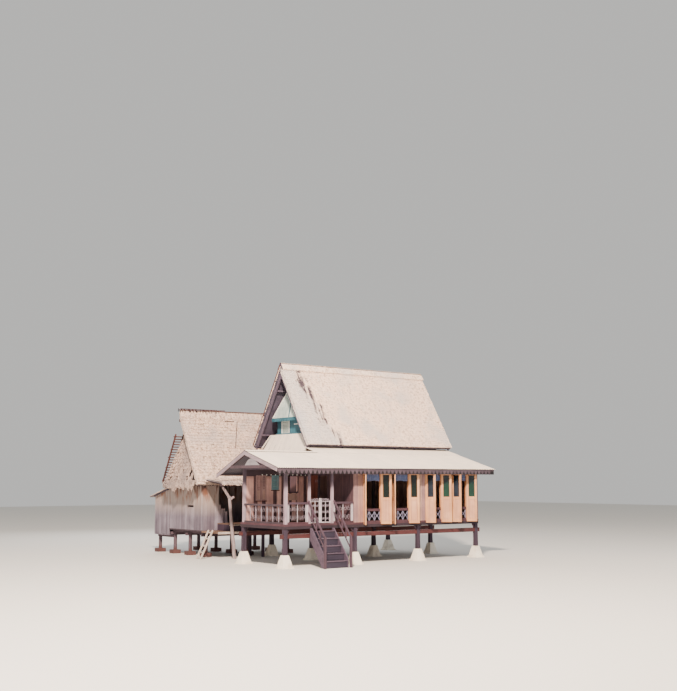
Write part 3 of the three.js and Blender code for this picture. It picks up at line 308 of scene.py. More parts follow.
# The passage roof's zinc is painted dark as shade, besides its rust
shaded_old_zinc = rolled_zinc("old_zinc_painted_dark_as_shade", "#9c9498", "#7a7076", "#8a6a58")
limewash = brushed_coat("limewashed_concrete", "#efe6d6", "#b9aa98", 0.85, 0.3, 0.6, 0.006)
white_iron = brushed_coat("painted_iron_bars", "#b6acb3", "#7e747f", 0.45, 0.12, 0.6, 0.0008)
curl_iron = brushed_coat("painted_iron_curls", "#9c909c", "#6a5f6c", 0.45, 0.12, 0.6, 0.0008)
grey_iron = brushed_coat("grey_painted_bars", "#8c7e88", "#5c505a", 0.5, 0.12, 0.6, 0.0008)
carved_white = brushed_coat("painted_fretwork", "#747288", "#4e4a5a", 0.6, 0.15, 0.5, 0.001)
white_trim = brushed_coat("white_scallop_trim", "#e6e6e2", "#b4b4b2", 0.6, 0.2, 0.4, 0.001)
green_glass = figured_glass("green_pattern_glass", "#123628", "#0e2822", "#0e1a22")
grey_glass = figured_glass("grey_pattern_glass", "#2a313b", "#20262f", "#111a22")
deep_glass = figured_glass("dark_green_pattern_glass", "#04130d", "#040f0d", "#050b0f")
# The valance's blue is darkened as painted shade under the eave
valance_cloth = woven_cotton("blue_cotton_painted_shade", "#525f86", "#39456a")


# Making pieces out of closed members

UP = Vector((0, 0, 1))
SEED = 7
chance = random.Random(SEED)


def wobble(amount):
    return chance.uniform(-amount, amount)


class Work:
    """Gathers closed members and turns them into one piece on a CAD body."""

    def __init__(self):
        self.points = []
        self.faces = []
        self.kinds = []

    def member(self, points, faces, kind=0):
        start = len(self.points)
        self.points.extend(tuple(p) for p in points)
        self.faces.extend(tuple(start + i for i in face) for face in faces)
        self.kinds.extend([kind] * len(faces))

    def hexa(self, corners, kind=0):
        """Eight corners: four round the bottom, then the four above them."""
        sides = [(0, 1, 5, 4), (1, 2, 6, 5), (2, 3, 7, 6), (3, 0, 4, 7)]
        self.member(corners, [(0, 3, 2, 1), (4, 5, 6, 7), *sides], kind)

    def board(self, low, high, kind=0):
        self.hexa(box(low, high), kind)

    def strip(self, x0, x1, near_low, far_low, near_high, far_high, kind=0):
        """A member that keeps one section along X: four points in Y and Z."""
        self.hexa([(x0, *near_low), (x1, *near_low), (x1, *far_low), (x0, *far_low),
                   (x0, *near_high), (x1, *near_high), (x1, *far_high), (x0, *far_high)], kind)

    def beam(self, start, end, wide, deep, kind=0, side=None):
        """A straight member from start to end: wide along side, deep across it."""
        start, end = Vector(start), Vector(end)
        along = (end - start).normalized()
        side = Vector(side) if side else (along.cross(UP) if abs(along.z) < 0.95 else Vector((1, 0, 0)))
        side = (side - along * side.dot(along)).normalized() * wide / 2
        rise = along.cross(side).normalized() * deep / 2
        ring = [-side - rise, side - rise, side + rise, -side + rise]
        self.hexa([start + p for p in ring] + [end + p for p in ring], kind)

    def slab(self, ring, shift, kind=0):
        """A flat outline of points, given thickness by a shift."""
        count = len(ring)
        lower = [Vector(p) for p in ring]
        upper = [p + Vector(shift) for p in lower]
        sides = [(i, (i + 1) % count, count + (i + 1) % count, count + i) for i in range(count)]
        ends = [tuple(reversed(range(count))), tuple(range(count, 2 * count))]
        self.member(lower + upper, [*ends, *sides], kind)

    def rings(self, points, count, kind=0):
        """A closed member from rings of points, count points in each."""
        last = len(points) - count
        faces = [tuple(reversed(range(count))), tuple(range(last, last + count))]
        for start in range(0, last, count):
            for k in range(count):
                a, b = start + k, start + (k + 1) % count
                faces.append((a, b, b + count, a + count))
        self.member(points, faces, kind)

    def pole(self, path, radii, sides=8, kind=0, rough=0.0):
        """A round member along a path, with a radius at each point and an uneven skin."""
        path = [Vector(p) for p in path]
        if not hasattr(radii, "__len__"):
            radii = [radii] * len(path)
        skin = []
        side = None
        for i, point in enumerate(path):
            along = (path[min(i + 1, len(path) - 1)] - path[max(i - 1, 0)]).normalized()
            if side is None:
                side = along.cross(UP) if abs(along.z) < 0.9 else along.cross(Vector((1, 0, 0)))
            side = (side - along * side.dot(along)).normalized()
            other = along.cross(side)
            for k in range(sides):
                turn = 2 * math.pi * k / sides
                reach = radii[i] * (1 + wobble(rough))
                skin.append(point + side * math.cos(turn) * reach + other * math.sin(turn) * reach)
        self.rings(skin, sides, kind)

    def make(self, name, finishes, body="house", replaces=(), slot=None, bevel=0.0, round_over=35):
        mesh = bpy.data.meshes.new(name)
        mesh.from_pydata(self.points, [], self.faces)
        for finish in finishes:
            mesh.materials.append(finish)
        mesh.polygons.foreach_set("material_index", self.kinds)
        shape = bmesh.new()
        shape.from_mesh(mesh)
        bmesh.ops.recalc_face_normals(shape, faces=shape.faces)
        shape.to_mesh(mesh)
        shape.free()
        mesh.polygons.foreach_set("use_smooth", [True] * len(mesh.polygons))
        mesh.set_sharp_from_angle(angle=math.radians(round_over))
        piece = bpy.data.objects.new(name, mesh)
        bpy.context.scene.collection.objects.link(piece)
        if bevel:
            edge = piece.modifiers.new("eased", "BEVEL")
            edge.width = bevel
            edge.segments = 1
            edge.limit_method = "ANGLE"
            edge.angle_limit = math.radians(40)
        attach(piece, body)
        if replaces:
            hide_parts(*replaces)
        return piece


def box(low, high):
    """The eight corners of an upright box."""
    (x0, y0, z0), (x1, y1, z1) = low, high
    return [(x, y, z) for z in (z0, z1) for x, y in ((x0, y0), (x1, y0), (x1, y1), (x0, y1))]


def steps(start, end, pitch, uneven_share=0.15):
    """Board edges from start to end, about a pitch apart and a little uneven."""
    count = max(1, round((end - start) / pitch))
    edges = [start + (end - start) * i / count for i in range(count + 1)]
    return [start, *(e + wobble(pitch * uneven_share) for e in edges[1:-1]), end]


def plank_wall(work, place, span, bottom, top, thick, holes=(), pitch=0.2, gap=0.004, shake=0.004,
               kinds=(0,)):
    """Upright planks. place(u, v, w) gives the point u along the wall, v up and w out of it; top is
    a height or a function of u; each hole is (u0, u1, v0, v1)."""
    height = top if callable(top) else lambda u: top
    edges = sorted(set(steps(*span, pitch)) | {u for hole in holes for u in hole[:2]})
    edges = [e for i, e in enumerate(edges)
             if i == 0 or e - edges[i - 1] > 0.02 or any(e in h[:2] for h in holes)]
    for index, (u0, u1) in enumerate(zip(edges, edges[1:])):
        if u1 - u0 < 0.012:
            continue
        middle = (u0 + u1) / 2
        low = bottom
        runs = []
        for v0, v1 in sorted((v0, v1) for a, b, v0, v1 in holes if a < middle < b):
            if v0 > low + 0.01:
                runs.append((low, v0, v0))
            low = max(low, v1)
        a, b = u0 + gap / 2, u1 - gap / 2
        runs.append((low, height(a), height(b)))
        shift = wobble(shake)
        w0, w1 = shift - abs(shake), thick + shift - abs(shake)
        for v0, va, vb in runs:
            if min(va, vb) < v0 + 0.01:
                continue
            work.hexa([place(a, v0, w0), place(b, v0, w0), place(b, v0, w1), place(a, v0, w1),
                       place(a, va, w0), place(b, vb, w0), place(b, vb, w1), place(a, va, w1)],
                      kinds[index % len(kinds)])


def scallops(work, place, span, top, low, deep, pitch, thick, kind=0):
    """A board with a row of rounded teeth along its lower edge."""
    count = max(1, round((span[1] - span[0]) / pitch))
    width = (span[1] - span[0]) / count
    for i in range(count):
        a = span[0] + i * width
        ring = [(a + 0.001, top), (a + 0.001, low + deep)]
        for k in range(9):
            turn = math.pi * k / 8
            ring.append((a + width / 2 - math.cos(turn) * width * 0.46, low + deep - math.sin(turn) * deep))
        ring += [(a + width - 0.001, low + deep), (a + width - 0.001, top)]
        shift = Vector(place(a, top, thick)) - Vector(place(a, top, 0))
        work.slab([place(u, v, 0) for u, v in ring], shift, kind)


def scroll(work, centre, plane, reach, turns=1.25, start=0.0, hand=1, radius=0.006, kind=0, points=14):
    """A wrought curl that winds in to its centre. plane gives the two directions it lies in."""
    path = []
    for i in range(points + 1):
        share = i / points
        turn = start + hand * share * turns * 2 * math.pi
        size = reach * (1 - 0.78 * share)
        path.append(Vector(centre) + plane[0] * math.cos(turn) * size + plane[1] * math.sin(turn) * size)
    work.pole(path, radius, 6, kind)


# Sizes that the pieces share with the frame

BAY = 2.95
SEAT = 0.0003
FLOOR = 1.45
FOOT = 0.43
PLATE_TOP = 3.3
GABLE_WALL_TOP = 4.524
WALL_OUT = -0.08
WALL_IN = -0.02
HALL_LEFT, HALL_LEFT_IN = 2.87, 2.93
HALL_RIGHT, HALL_RIGHT_IN = 8.93, 8.87
HALL_BACK_IN, HALL_BACK = 5.32, 5.38
RIDGE_Y, RIDGE_Z = 3.9575, 7.38
EAVE_HALF, EAVE_Z = 1.93, 4.27
ROOF_FALL = (RIDGE_Z - EAVE_Z) / EAVE_HALF
THATCH_X = (2.4, 9.6)
ZINC_X = (-0.67, 9.5)
ZINC_EAVE_Y, ZINC_EAVE_Z, ZINC_SLOPE = -0.5, 3.33, 0.286
WING_RIDGE_Y, WING_BACK_Y, WING_BACK_SLOPE = 1.53, 3.39, 0.425
ANNEX_RIDGE_Y, ANNEX_RIDGE_Z, ANNEX_EAVE_Z, ANNEX_HALF = 7.6, 5.7, 2.79, 1.6


def under_zinc(y):
    return ZINC_EAVE_Z + (y - ZINC_EAVE_Y) * ZINC_SLOPE


WING_RIDGE_Z = under_zinc(WING_RIDGE_Y)


def under_wing_back(y):
    return WING_RIDGE_Z - (y - WING_RIDGE_Y) * WING_BACK_SLOPE


# Thatch: overlapping courses of sewn leaf on a solid bed

class Slope:
    """A roof slope from its eave to its ridge, each a point in Y and Z."""

    def __init__(self, eave, ridge):
        self.low, high = Vector((0, *eave)), Vector((0, *ridge))
        self.length = (high - self.low).length
        self.along = along = (high - self.low).normalized()
        self.out = Vector((0, -along.z, along.y)) if along.y > 0 else Vector((0, along.z, -along.y))
        self.steep = along.z / abs(along.y)

    def at(self, x, s, h):
        """The point this far up the slope and this high over it."""
        point = self.low + self.along * s + self.out * h
        return (x, point.y, point.z)


# How wide a leaf shows, and how far the next one lies over it
LEAF_SHOWN, LEAF_OVERLAP = (0.03, 0.06), 0.002


def leaf_edges(start, end):
    """Both edges of each leaf in a row from start to end."""
    while start < end - 0.01:
        edge = min(start + chance.uniform(*LEAF_SHOWN), end)
        yield start, edge
        start = edge - LEAF_OVERLAP


def thatch_slope(work, eave, ridge, span, courses, pitch=0.026, thick=0.16, ragged=0.03, bed=0.05):
    """Courses of leaf over a bed as deep as the thatch, cut upright at the ridge. The bed takes the second
    finish, which is painted shade.
    """
    slope = Slope(eave, ridge)
    at, length, steep = slope.at, slope.length, slope.steep
    x0, x1 = span
    bed_ring = [at(x0 + 0.02, 0.03, -bed), at(x0 + 0.02, length - bed * steep, -bed),
                at(x0 + 0.02, length - thick * steep, -thick), at(x0 + 0.02, 0.0, -thick)]
    work.slab(bed_ring, (x1 - x0 - 0.04, 0, 0), 1)
    exposure = length / courses
    body, root = 0.03, 0.012
    for course in range(courses):
        start = course * exposure
        x = x0 + wobble(0.01)
        while x < x1 - 0.006:
            wide = pitch * chance.uniform(0.75, 1.5)
            a, b = x, min(x + wide, x1)
            hang = 0.0 if course == 0 else chance.uniform(0, ragged)
            tip = max(0.0, start - hang)
            top = min(length - (bed - root) * steep, start + exposure * 1.35)
            lift = chance.uniform(-0.012, 0.0)
            skew = wobble(0.006)
            work.hexa([at(a + skew, tip, lift - body), at(b + skew, tip + wobble(0.006), lift - body),
                       at(b, top, -bed - root), at(a, top, -bed - root),
                       at(a + skew, tip, lift), at(b + skew, tip, lift - abs(wobble(0.006))),
                       at(b, top, -bed + root), at(a, top, -bed + root)])
            x = b - LEAF_OVERLAP


def hanging_edge(work, ends, inward, down, count, length, thick=0.16, layers=3, painted_shade_from=1):
    """Loose leaf ends along an edge from one point to another: they fill its thickness and hang. The lower
    layers take the second finish, which is painted shade.
    """
    start, end = Vector(ends[0]), Vector(ends[1])
    run = end - start
    inward, down = Vector(inward).normalized(), Vector(down).normalized()
    width = run.length / count
    drop = down * (thick / layers + 0.01)
    back = inward * 0.12
    for layer in range(layers):
        for i in range(count):
            share = (i + chance.uniform(0.1, 0.9)) / count
            base = start + run * share + inward * chance.uniform(0.0, 0.03)
            base = base + down * thick * (layer / layers)
            reach = length * chance.uniform(0.5, 1.0)
            half = run.normalized() * width * chance.uniform(0.45, 0.8)
            tip = base + down * reach * 0.35 - inward * reach * 0.15
            work.hexa([tip - half * 0.5, tip + half * 0.5, base + back + half, base + back - half,
                       tip - half * 0.5 + drop * 0.3, tip + half * 0.5 + drop * 0.3,
                       base + back + half + drop, base + back - half + drop], 1 if layer >= painted_shade_from else 0)


def rake_edge(work, x, outward, eave, ridge, thick=0.15, courses=24, kind=0):
    """The cut side of a thatch slope: the ends of the courses, a little proud and uneven."""
    slope = Slope(eave, ridge)
    layers = 4
    for course in range(courses):
        for layer in range(layers):
            s = slope.length * (course + chance.uniform(0.0, 0.3)) / courses
            h = -0.02 - thick * (layer + chance.uniform(0.0, 0.4)) / 4.2
            reach = chance.uniform(0.0, 0.02)
            end = s + slope.length / courses * chance.uniform(0.9, 1.3)
            end = min(end, slope.length + (h - 0.03) * slope.steep)
            if end < s + 0.02:
                continue
            a = Vector(slope.at(0, s, h))
            b = Vector(slope.at(0, end, h - 0.008))
            inner, outer = x - outward * 0.06, x + outward * (reach - 0.02)
            drop = slope.out * 0.03
            work.hexa([(px, p.y, p.z) for p, q in ((a, b), (a - drop, b - drop))
                       for px, p in ((inner, p), (outer, p), (outer, q), (inner, q))], kind)


for name, side in (("thatch_front", -1), ("thatch_back", 1)):
    work = Work()
    eave = (RIDGE_Y + side * EAVE_HALF, EAVE_Z)
    ridge = (RIDGE_Y + side * 0.0002, RIDGE_Z)
    thatch_slope(work, eave, ridge, THATCH_X, 38, 0.036, 0.16, 0.07)
    ends = [(x, eave[0] - side * 0.02, eave[1] - 0.01) for x in (THATCH_X[0] + 0.02, THATCH_X[1] - 0.02)]
    hanging_edge(work, ends, (0, -side, 0.4), (0, -side * 0.75, -0.5), 190, 0.09, 0.13)
    # The back slope's left rake takes the second finish, which is painted shade
    rake_edge(work, THATCH_X[0], -1, eave, ridge, kind=0 if side < 0 else 1)
    rake_edge(work, THATCH_X[1], 1, eave, ridge)
    if side > 0:
        rake_pole = [(THATCH_X[0] - 0.008, *(e + (r - e) * s for e, r in zip(eave, ridge)))
                     for s in (0.01, 0.5, 0.99)]
        work.pole(rake_pole, 0.022, 7, 2)
    finishes = [roof_thatch if side < 0 else back_thatch, painted_shade_thatch, batten_wood]
    work.make(name + "_courses", finishes, replaces=[name], slot="thatch")

# Ridge cap: folded leaf held by split sticks

work = Work()
cap_x = (THATCH_X[0] - 0.03, THATCH_X[1] + 0.03)
for side in (-1, 1):
    for x, b in leaf_edges(*cap_x):
        reach = chance.uniform(0.13, 0.155)
        peak = RIDGE_Z + 0.05 + wobble(0.006)
        low_z = RIDGE_Z - reach * ROOF_FALL + 0.05
        near, far = RIDGE_Y - side * 0.008, RIDGE_Y + side * reach
        # Leaves at the cap's left end take the third finish, which is painted shade
        work.strip(x, b, (near, peak - 0.02), (far, low_z - 0.03), (near, peak + 0.012),
                   (far + side * 0.012, low_z), 2 if x < cap_x[0] + 0.02 else 0)
    for share in (0.1,) if side < 0 else (0.1, 0.85):
        y = RIDGE_Y + side * 0.15 * share
        z = RIDGE_Z + 0.062 - 0.15 * share * ROOF_FALL
        work.pole([(cap_x[0] + 0.01, y, z), (6.0, y, z + 0.004), (cap_x[1] - 0.01, y, z)], 0.011, 6, 1)
finishes = [back_thatch, batten_wood, painted_shade_thatch]
work.make("ridge_cap_leaf", finishes, replaces=["ridge_cap"], slot="thatch")


# Zinc: corrugated sheets with side laps and nails

WAVE, WAVE_RISE, GAUGE = 0.09, 0.0115, 0.0012
SHEET_WIDE, SIDE_LAP, WAVE_SAMPLES = 0.76, 0.04, 6
SHEET_LIFT, LAP_LIFT, RAGGED_FOOT = 0.012, 0.002, 0.012


def corrugated(work, span, eave, ridge):
    """Sheets side by side along X, over an underside from its eave to its ridge in Y and Z."""
    slope = Slope(eave, ridge)
    up = slope.out * GAUGE
    x = span[0]
    index = 0
    while x < span[1] - 0.03:
        x_end = min(x + SHEET_WIDE, span[1])
        lift = SHEET_LIFT + (index % 2) * LAP_LIFT
        foot = abs(wobble(RAGGED_FOOT)) if index else 0.0
        count = max(2, round((x_end - x + SIDE_LAP) / WAVE * WAVE_SAMPLES))
        right = min(x_end + SIDE_LAP, span[1])
        under = []
        for s in (foot, slope.length * 0.5, slope.length):
            for i in range(count + 1):
                px = x + (right - x) * i / count
                rise = math.sin(2 * math.pi * (px - span[0]) / WAVE) * WAVE_RISE
                under.append(slope.at(px, s, lift + rise))
        top = [(px, py + up.y, pz + up.z) for px, py, pz in under]
        n = count + 1
        total = 3 * n
        faces = []
        for a in (r * n + i for r in range(2) for i in range(count)):
            faces.append((a, a + n, a + n + 1, a + 1))
            faces.append((total + a, total + a + 1, total + a + n + 1, total + a + n))
        last = 2 * n
        for i in range(count):
            faces.append((i, i + 1, total + i + 1, total + i))
            faces.append((last + i + 1, last + i, total + last + i, total + last + i + 1))
        for a, b in ((0, n), (n, last)):
            faces.append((b, a, total + a, total + b))
            faces.append((a + count, b + count, total + b + count, total + a + count))
        work.member(under + top, faces)
        x = x_end
        index += 1


def nails(work, xs, ys, out, kind=1):
    """Dome-headed roofing nails on the wave crests of the front sheets."""
    for y in ys:
        for x in xs:
            base = Vector((x, y, under_zinc(y) + 0.0225))
            work.pole([base, base + out * 0.006, base + out * 0.009], [0.011, 0.010, 0.004], 6, kind)


LAP_Y = WING_RIDGE_Y - 0.03
work = Work()
corrugated(work, ZINC_X, (ZINC_EAVE_Y, ZINC_EAVE_Z), (WING_RIDGE_Y, WING_RIDGE_Z))
for x0, x1, y in ((THATCH_X[0], HALL_LEFT - 0.01, 2.4), (HALL_LEFT, HALL_RIGHT, 2.48),
                  (HALL_RIGHT + 0.01, ZINC_X[1], 2.4)):
    corrugated(work, (x0, x1), (LAP_Y, under_zinc(LAP_Y)), (y, under_zinc(y)))
nail_xs = [ZINC_X[0] + WAVE * (0.25 + 5 * i) for i in range(23)]
nails(work, nail_xs, (-0.39, 0.5, 1.44), Vector((0, -ZINC_SLOPE, 1)).normalized())
finishes = [zinc, white_trim]
work.make("front_zinc_sheets", finishes, replaces=["front_zinc_roof"], slot="zinc_sheet", round_over=60)

work = Work()
top_y = WING_RIDGE_Y + 0.004
corrugated(work, (ZINC_X[0], THATCH_X[0] - 0.001), (WING_BACK_Y, under_wing_back(WING_BACK_Y)),
           (top_y, under_wing_back(top_y)))
roll, roll_z, roll_thin = 0.075, WING_RIDGE_Z - 0.012, 0.96
ring = []
for k in range(9):
    turn = math.radians(-62 + 124 * k / 8)
    ring.append((ZINC_X[0], WING_RIDGE_Y + math.sin(turn) * roll, roll_z + math.cos(turn) * roll))
ring += [(x, WING_RIDGE_Y + (y - WING_RIDGE_Y) * roll_thin, roll_z - 0.002 + (z - roll_z) * roll_thin)
         for x, y, z in reversed(ring)]
work.slab(ring, (THATCH_X[0] - ZINC_X[0] - 0.002, 0, 0))
work.make("wing_back_zinc_sheets", [zinc], replaces=["wing_back_zinc_roof"], slot="zinc_sheet", round_over=60)

# The passage's own small zinc roof on its beam

work = Work()
corrugated(work, (0.25, HALL_LEFT - 0.002), (4.6, 2.79), (5.95, 2.95))
work.beam((0.25, 4.67, 2.75), (HALL_LEFT - 0.001, 4.67, 2.75), 0.06, 0.1, 1)
for x in (0.35, 1.15, 1.95, 2.75):
    work.beam((x, 4.64, 2.765), (x, 5.93, 2.917), 0.05, 0.04, 1)
finishes = [shaded_old_zinc, beam_wood]
work.make("passage_zinc_sheets", finishes, replaces=["passage_roof"], slot="zinc_sheet", round_over=60)

# Torn leaf and one loose plank lying on the passage roof

work = Work()
for i in range(150):
    x, y = chance.uniform(0.27, 1.75), 4.62 + chance.random() ** 1.6 * 0.9
    z = 2.79 + (y - 4.6) * 0.1185 + 0.03 + chance.uniform(0.0, 0.07)
    wide, reach = chance.uniform(0.05, 0.11), chance.uniform(0.18, 0.4)
    tip_x = x + wobble(0.12)
    tip_z = z - (0.09 if y < 4.85 else 0.0)
    tip_y, root_y = y - reach * 0.6, y + reach * 0.4
    corners = []
    for tip_rise, root_rise in ((-0.012, -0.012), (0.0, 0.02)):
        corners += [(tip_x, tip_y, tip_z + tip_rise), (tip_x + wide * 0.3, tip_y, tip_z + tip_rise),
                    (x + wide, root_y, z + root_rise), (x, root_y, z + root_rise)]
    work.hexa(corners)
work.board((1.62, 4.63, 2.835), (2.62, 4.75, 2.875), 1)
work.make("passage_roof_litter", [annex_thatch, log_wood], slot="thatch")


# Walls: upright planks round the openings, as thick as the wall

STEP_Y = 2.5
SIDE_CLEAR = 0.075
UNDER_FLOOR = FLOOR - 0.02
WINDOW_X = (3.29, 4.62, 6.22, 7.53)
WINDOW_WIDE = 0.8
WINDOW_HIGH = 3.18
DOOR_HIGH = 3.13
DOORWAYS_Y = ((1.47, 2.09), (3.9, 4.7))
VERANDAH_BACK = 2.58


def side_top(y):
    return GABLE_WALL_TOP if y > STEP_Y else under_zinc(y) - SIDE_CLEAR


work = Work()
window_holes = [(x, x + WINDOW_WIDE, UNDER_FLOOR, WINDOW_HIGH) for x in WINDOW_X]
plank_wall(work, lambda u, v, w: (u, WALL_OUT + w, v), (HALL_LEFT, HALL_RIGHT), FLOOR, PLATE_TOP, 0.06,
           window_holes, 0.17, 0.008, 0.006, (1, 0, 0, 1, 0))
finishes = [hall_planks, pink_planks]
work.make("front_wall_planks", finishes, replaces=["front_wall"], slot="wall_planks_tan", bevel=0.003)

work = Work()
plank_wall(work, lambda u, v, w: (u, HALL_BACK - w, v), (HALL_LEFT_IN, HALL_RIGHT_IN), FLOOR,
           GABLE_WALL_TOP, 0.06, (), 0.21)
rail_y = HALL_BACK_IN - 0.012
for z in (2.2, 3.6):
    work.beam((HALL_LEFT_IN + 0.2, rail_y, z), (HALL_RIGHT_IN - 0.2, rail_y, z), 0.07, 0.022, 0)
work.make("back_wall_planks", [hall_planks], replaces=["back_wall"], slot="wall_planks_tan", bevel=0.003)

work = Work()
plank_wall(work, lambda u, v, w: (HALL_RIGHT - w, u, v), (WALL_IN, HALL_BACK), FLOOR, side_top,
           0.06, (), 0.21)
work.board((HALL_RIGHT_IN - 0.002, 1.3, 3.62), (HALL_RIGHT_IN + 0.02, HALL_BACK_IN - 0.14, 3.7))
work.make("right_wall_planks", [hall_planks], replaces=["right_wall"], slot="wall_planks_tan", bevel=0.003)

work = Work()
# The left wall, under the eave, takes planks painted dark as shade
plank_wall(work, lambda u, v, w: (HALL_LEFT + w, u, v), (WALL_IN, HALL_BACK), FLOOR, side_top, 0.06,
           [(*doorway, UNDER_FLOOR, DOOR_HIGH) for doorway in DOORWAYS_Y], 0.19)
x0, x1 = HALL_LEFT - 0.006, HALL_LEFT_IN + 0.006
for y0, y1 in DOORWAYS_Y:
    for y in (y0 + 0.004, y1 - 0.034):
        work.board((x0, y, FLOOR + 0.001), (x1, y + 0.03, DOOR_HIGH - 0.001), 1)
    work.board((x0, y0 + 0.034, DOOR_HIGH - 0.034), (x1, y1 - 0.034, DOOR_HIGH - 0.002), 1)
finishes = [painted_shade_planks, rail_wood]
work.make("left_wall_planks", finishes, replaces=["left_wall"], slot="wall_planks_grey", bevel=0.003)

# Verandah back wall: planks, two narrow pale shutters, a teal shutter, an open window, trim, and white knobs
# that are painted spots of sunlight

PINK, TAN, LEDGE, TEAL, DARK_FRAME, SUN_SPOT, HEAD, DARK = range(1, 9)
SLAT_LEAN = (0, 1, 0.4)
face = VERANDAH_BACK - 0.002


def flat_frame(work, x0, x1, z0, z1, y, wide, deep, kind):
    """Two stiles and two rails, proud of the wall at y."""
    for a, b in (((x0, z0), (x0 + wide, z1)), ((x1 - wide, z0), (x1, z1)),
                 ((x0 + wide, z0), (x1 - wide, z0 + wide)), ((x0 + wide, z1 - wide), (x1 - wide, z1))):
        work.board((a[0], y - deep, a[1]), (b[0], y, b[1]), kind)


def louvre(work, x0, x1, z0, pitch, count, thick, deep, kind):
    for slat in range(count):
        z = z0 + slat * pitch
        work.beam((x0, face - 0.012, z), (x1, face - 0.012, z), thick, deep, kind, SLAT_LEAN)


def on_wall(work, x0, x1, z0, z1, proud, kind):
    work.board((x0, face - proud, z0), (x1, face, z1), kind)


work = Work()
# Every few planks take the planks painted dark as shade
plank_wall(work, lambda u, v, w: (u, VERANDAH_BACK + w, v), (0.05, HALL_LEFT), FLOOR, PLATE_TOP, 0.05,
           [(1.83, 2.27, 2.5, 3.15)], 0.17, 0.006, 0.006, (0, 0, DARK, 0, DARK))
for x0 in (0.46, 0.69):
    left, right = x0 + 0.045, x0 + 0.165
    flat_frame(work, x0, x0 + 0.21, 2.2, 3.1, face, 0.045, 0.022, PINK)
    on_wall(work, left, right, 2.245, 2.56, 0.012, TAN)
    on_wall(work, left, right, 2.56, 2.6, 0.014, PINK)
    louvre(work, left, right, 2.615, 0.049, 9, 0.016, 0.036, PINK)
on_wall(work, 0.44, 0.66, 2.165, 2.195, 0.045, LEDGE)
on_wall(work, 0.70, 0.92, 2.165, 2.195, 0.045, LEDGE)
flat_frame(work, 1.13, 1.44, 2.58, 3.1, face, 0.05, 0.024, TEAL)
louvre(work, 1.18, 1.39, 2.655, 0.052, 8, 0.018, 0.04, TEAL)
on_wall(work, 1.11, 1.46, 2.545, 2.575, 0.04, LEDGE)
flat_frame(work, 1.79, 2.31, 2.46, 3.19, face, 0.042, 0.02, DARK_FRAME)
on_wall(work, 1.75, 2.25, 2.2, 2.44, 0.018, TAN)
on_wall(work, 0.06, 2.84, 3.07, 3.29, 0.016, HEAD)
# Painted light: white knobs stand for spots of sun that fall between the fringe's teeth
for i in range(11):
    sun_spot = [(0.72 + i * 0.19, face - out, 3.12) for out in (0.015, 0.03, 0.036)]
    work.pole(sun_spot, [0.024, 0.022, 0.012], 8, SUN_SPOT)
finishes = [shade_planks, pink_planks, hall_planks, girder_wood, pale_teal_wood, rail_wood, white_trim,
            beam_wood, painted_shade_planks]
work.make("verandah_back_planks", finishes, replaces=["verandah_back_wall"], slot="wall_planks_grey",
          bevel=0.002)

# Annex shell: silvered planks, a broken part beside its doorway, a slit for light

ANNEX_X, ANNEX_Y = (0.39, 4.61), (6.2, 9.0)
ANNEX_FLOOR, ANNEX_TOP, ANNEX_WALL = 1.0, 2.8, 0.05
LEAN_HIGH_Y, LEAN_BACK, LEAN_RIGHT, LEAN_FLOOR = 9.06, 10.3, 2.6, 0.77
LEAN_START = ANNEX_Y[1] + 0.02


def lean_under(y):
    return 2.56 - (y - LEAN_HIGH_Y) * 0.2282


broken = [(1.05 + 0.1 * i, 1.15 + 0.1 * i, 1.95 - 0.075 * i + wobble(0.05), 2.7) for i in range(4)]
inner = (ANNEX_Y[0] + ANNEX_WALL + 0.001, ANNEX_Y[1] - ANNEX_WALL - 0.001)
work = Work()
for place, span, holes in (
        (lambda u, v, w: (u, ANNEX_Y[0] + w, v), ANNEX_X, [(1.45, 2.6, ANNEX_FLOOR - 0.02, 2.7), *broken]),
        (lambda u, v, w: (u, ANNEX_Y[1] - w, v), ANNEX_X, [(1.3, 2.1, ANNEX_FLOOR - 0.02, 2.7)]),
        (lambda u, v, w: (ANNEX_X[0] + w, u, v), inner, [(7.0, 7.49, 1.88, 1.95)]),
        (lambda u, v, w: (ANNEX_X[1] - w, u, v), inner, [])):
    plank_wall(work, place, span, ANNEX_FLOOR, ANNEX_TOP, ANNEX_WALL, holes, 0.16, 0.006, 0.004)
plank_wall(work, lambda u, v, w: (ANNEX_X[0] + w, u, v), (LEAN_START, LEAN_BACK), LEAN_FLOOR,
           lambda y: lean_under(y) - 0.001, ANNEX_WALL, (), 0.15, 0.007, 0.005)
plank_wall(work, lambda u, v, w: (u, LEAN_BACK - w, v), (ANNEX_X[0] + ANNEX_WALL + 0.001, LEAN_RIGHT),
           LEAN_FLOOR, lean_under(LEAN_BACK) - 0.001, ANNEX_WALL, (), 0.15, 0.007, 0.005)
# These draws shape nothing: they keep all later boards as they are
for _ in range(16):
    wobble(1)
for i in range(9):
    y = LEAN_START + 0.002 + i * 0.1405
    work.board((ANNEX_X[0] + 0.001, y, LEAN_FLOOR - 0.05), (LEAN_RIGHT, y + 0.135, LEAN_FLOOR - 0.002))
work.make("annex_planks", [annex_wood], replaces=["annex_walls"], slot="annex_planks", bevel=0.003)

# Floors: boards with narrow gaps, on the frame


def floor_boards(work, x_span, y_span, z0, z1, pitch):
    """Boards that run back from the front, each in two lengths."""
    edges = steps(*x_span, pitch, 0.08)
    for a, b in zip(edges, edges[1:]):
        top = z1 - abs(wobble(0.002))
        cut = y_span[0] + (y_span[1] - y_span[0]) * chance.uniform(0.3, 0.7)
        for y0, y1 in ((y_span[0], cut - 0.001), (cut + 0.001, y_span[1])):
            work.board((a + 0.0015, y0, z0), (b - 0.0015, y1, top))


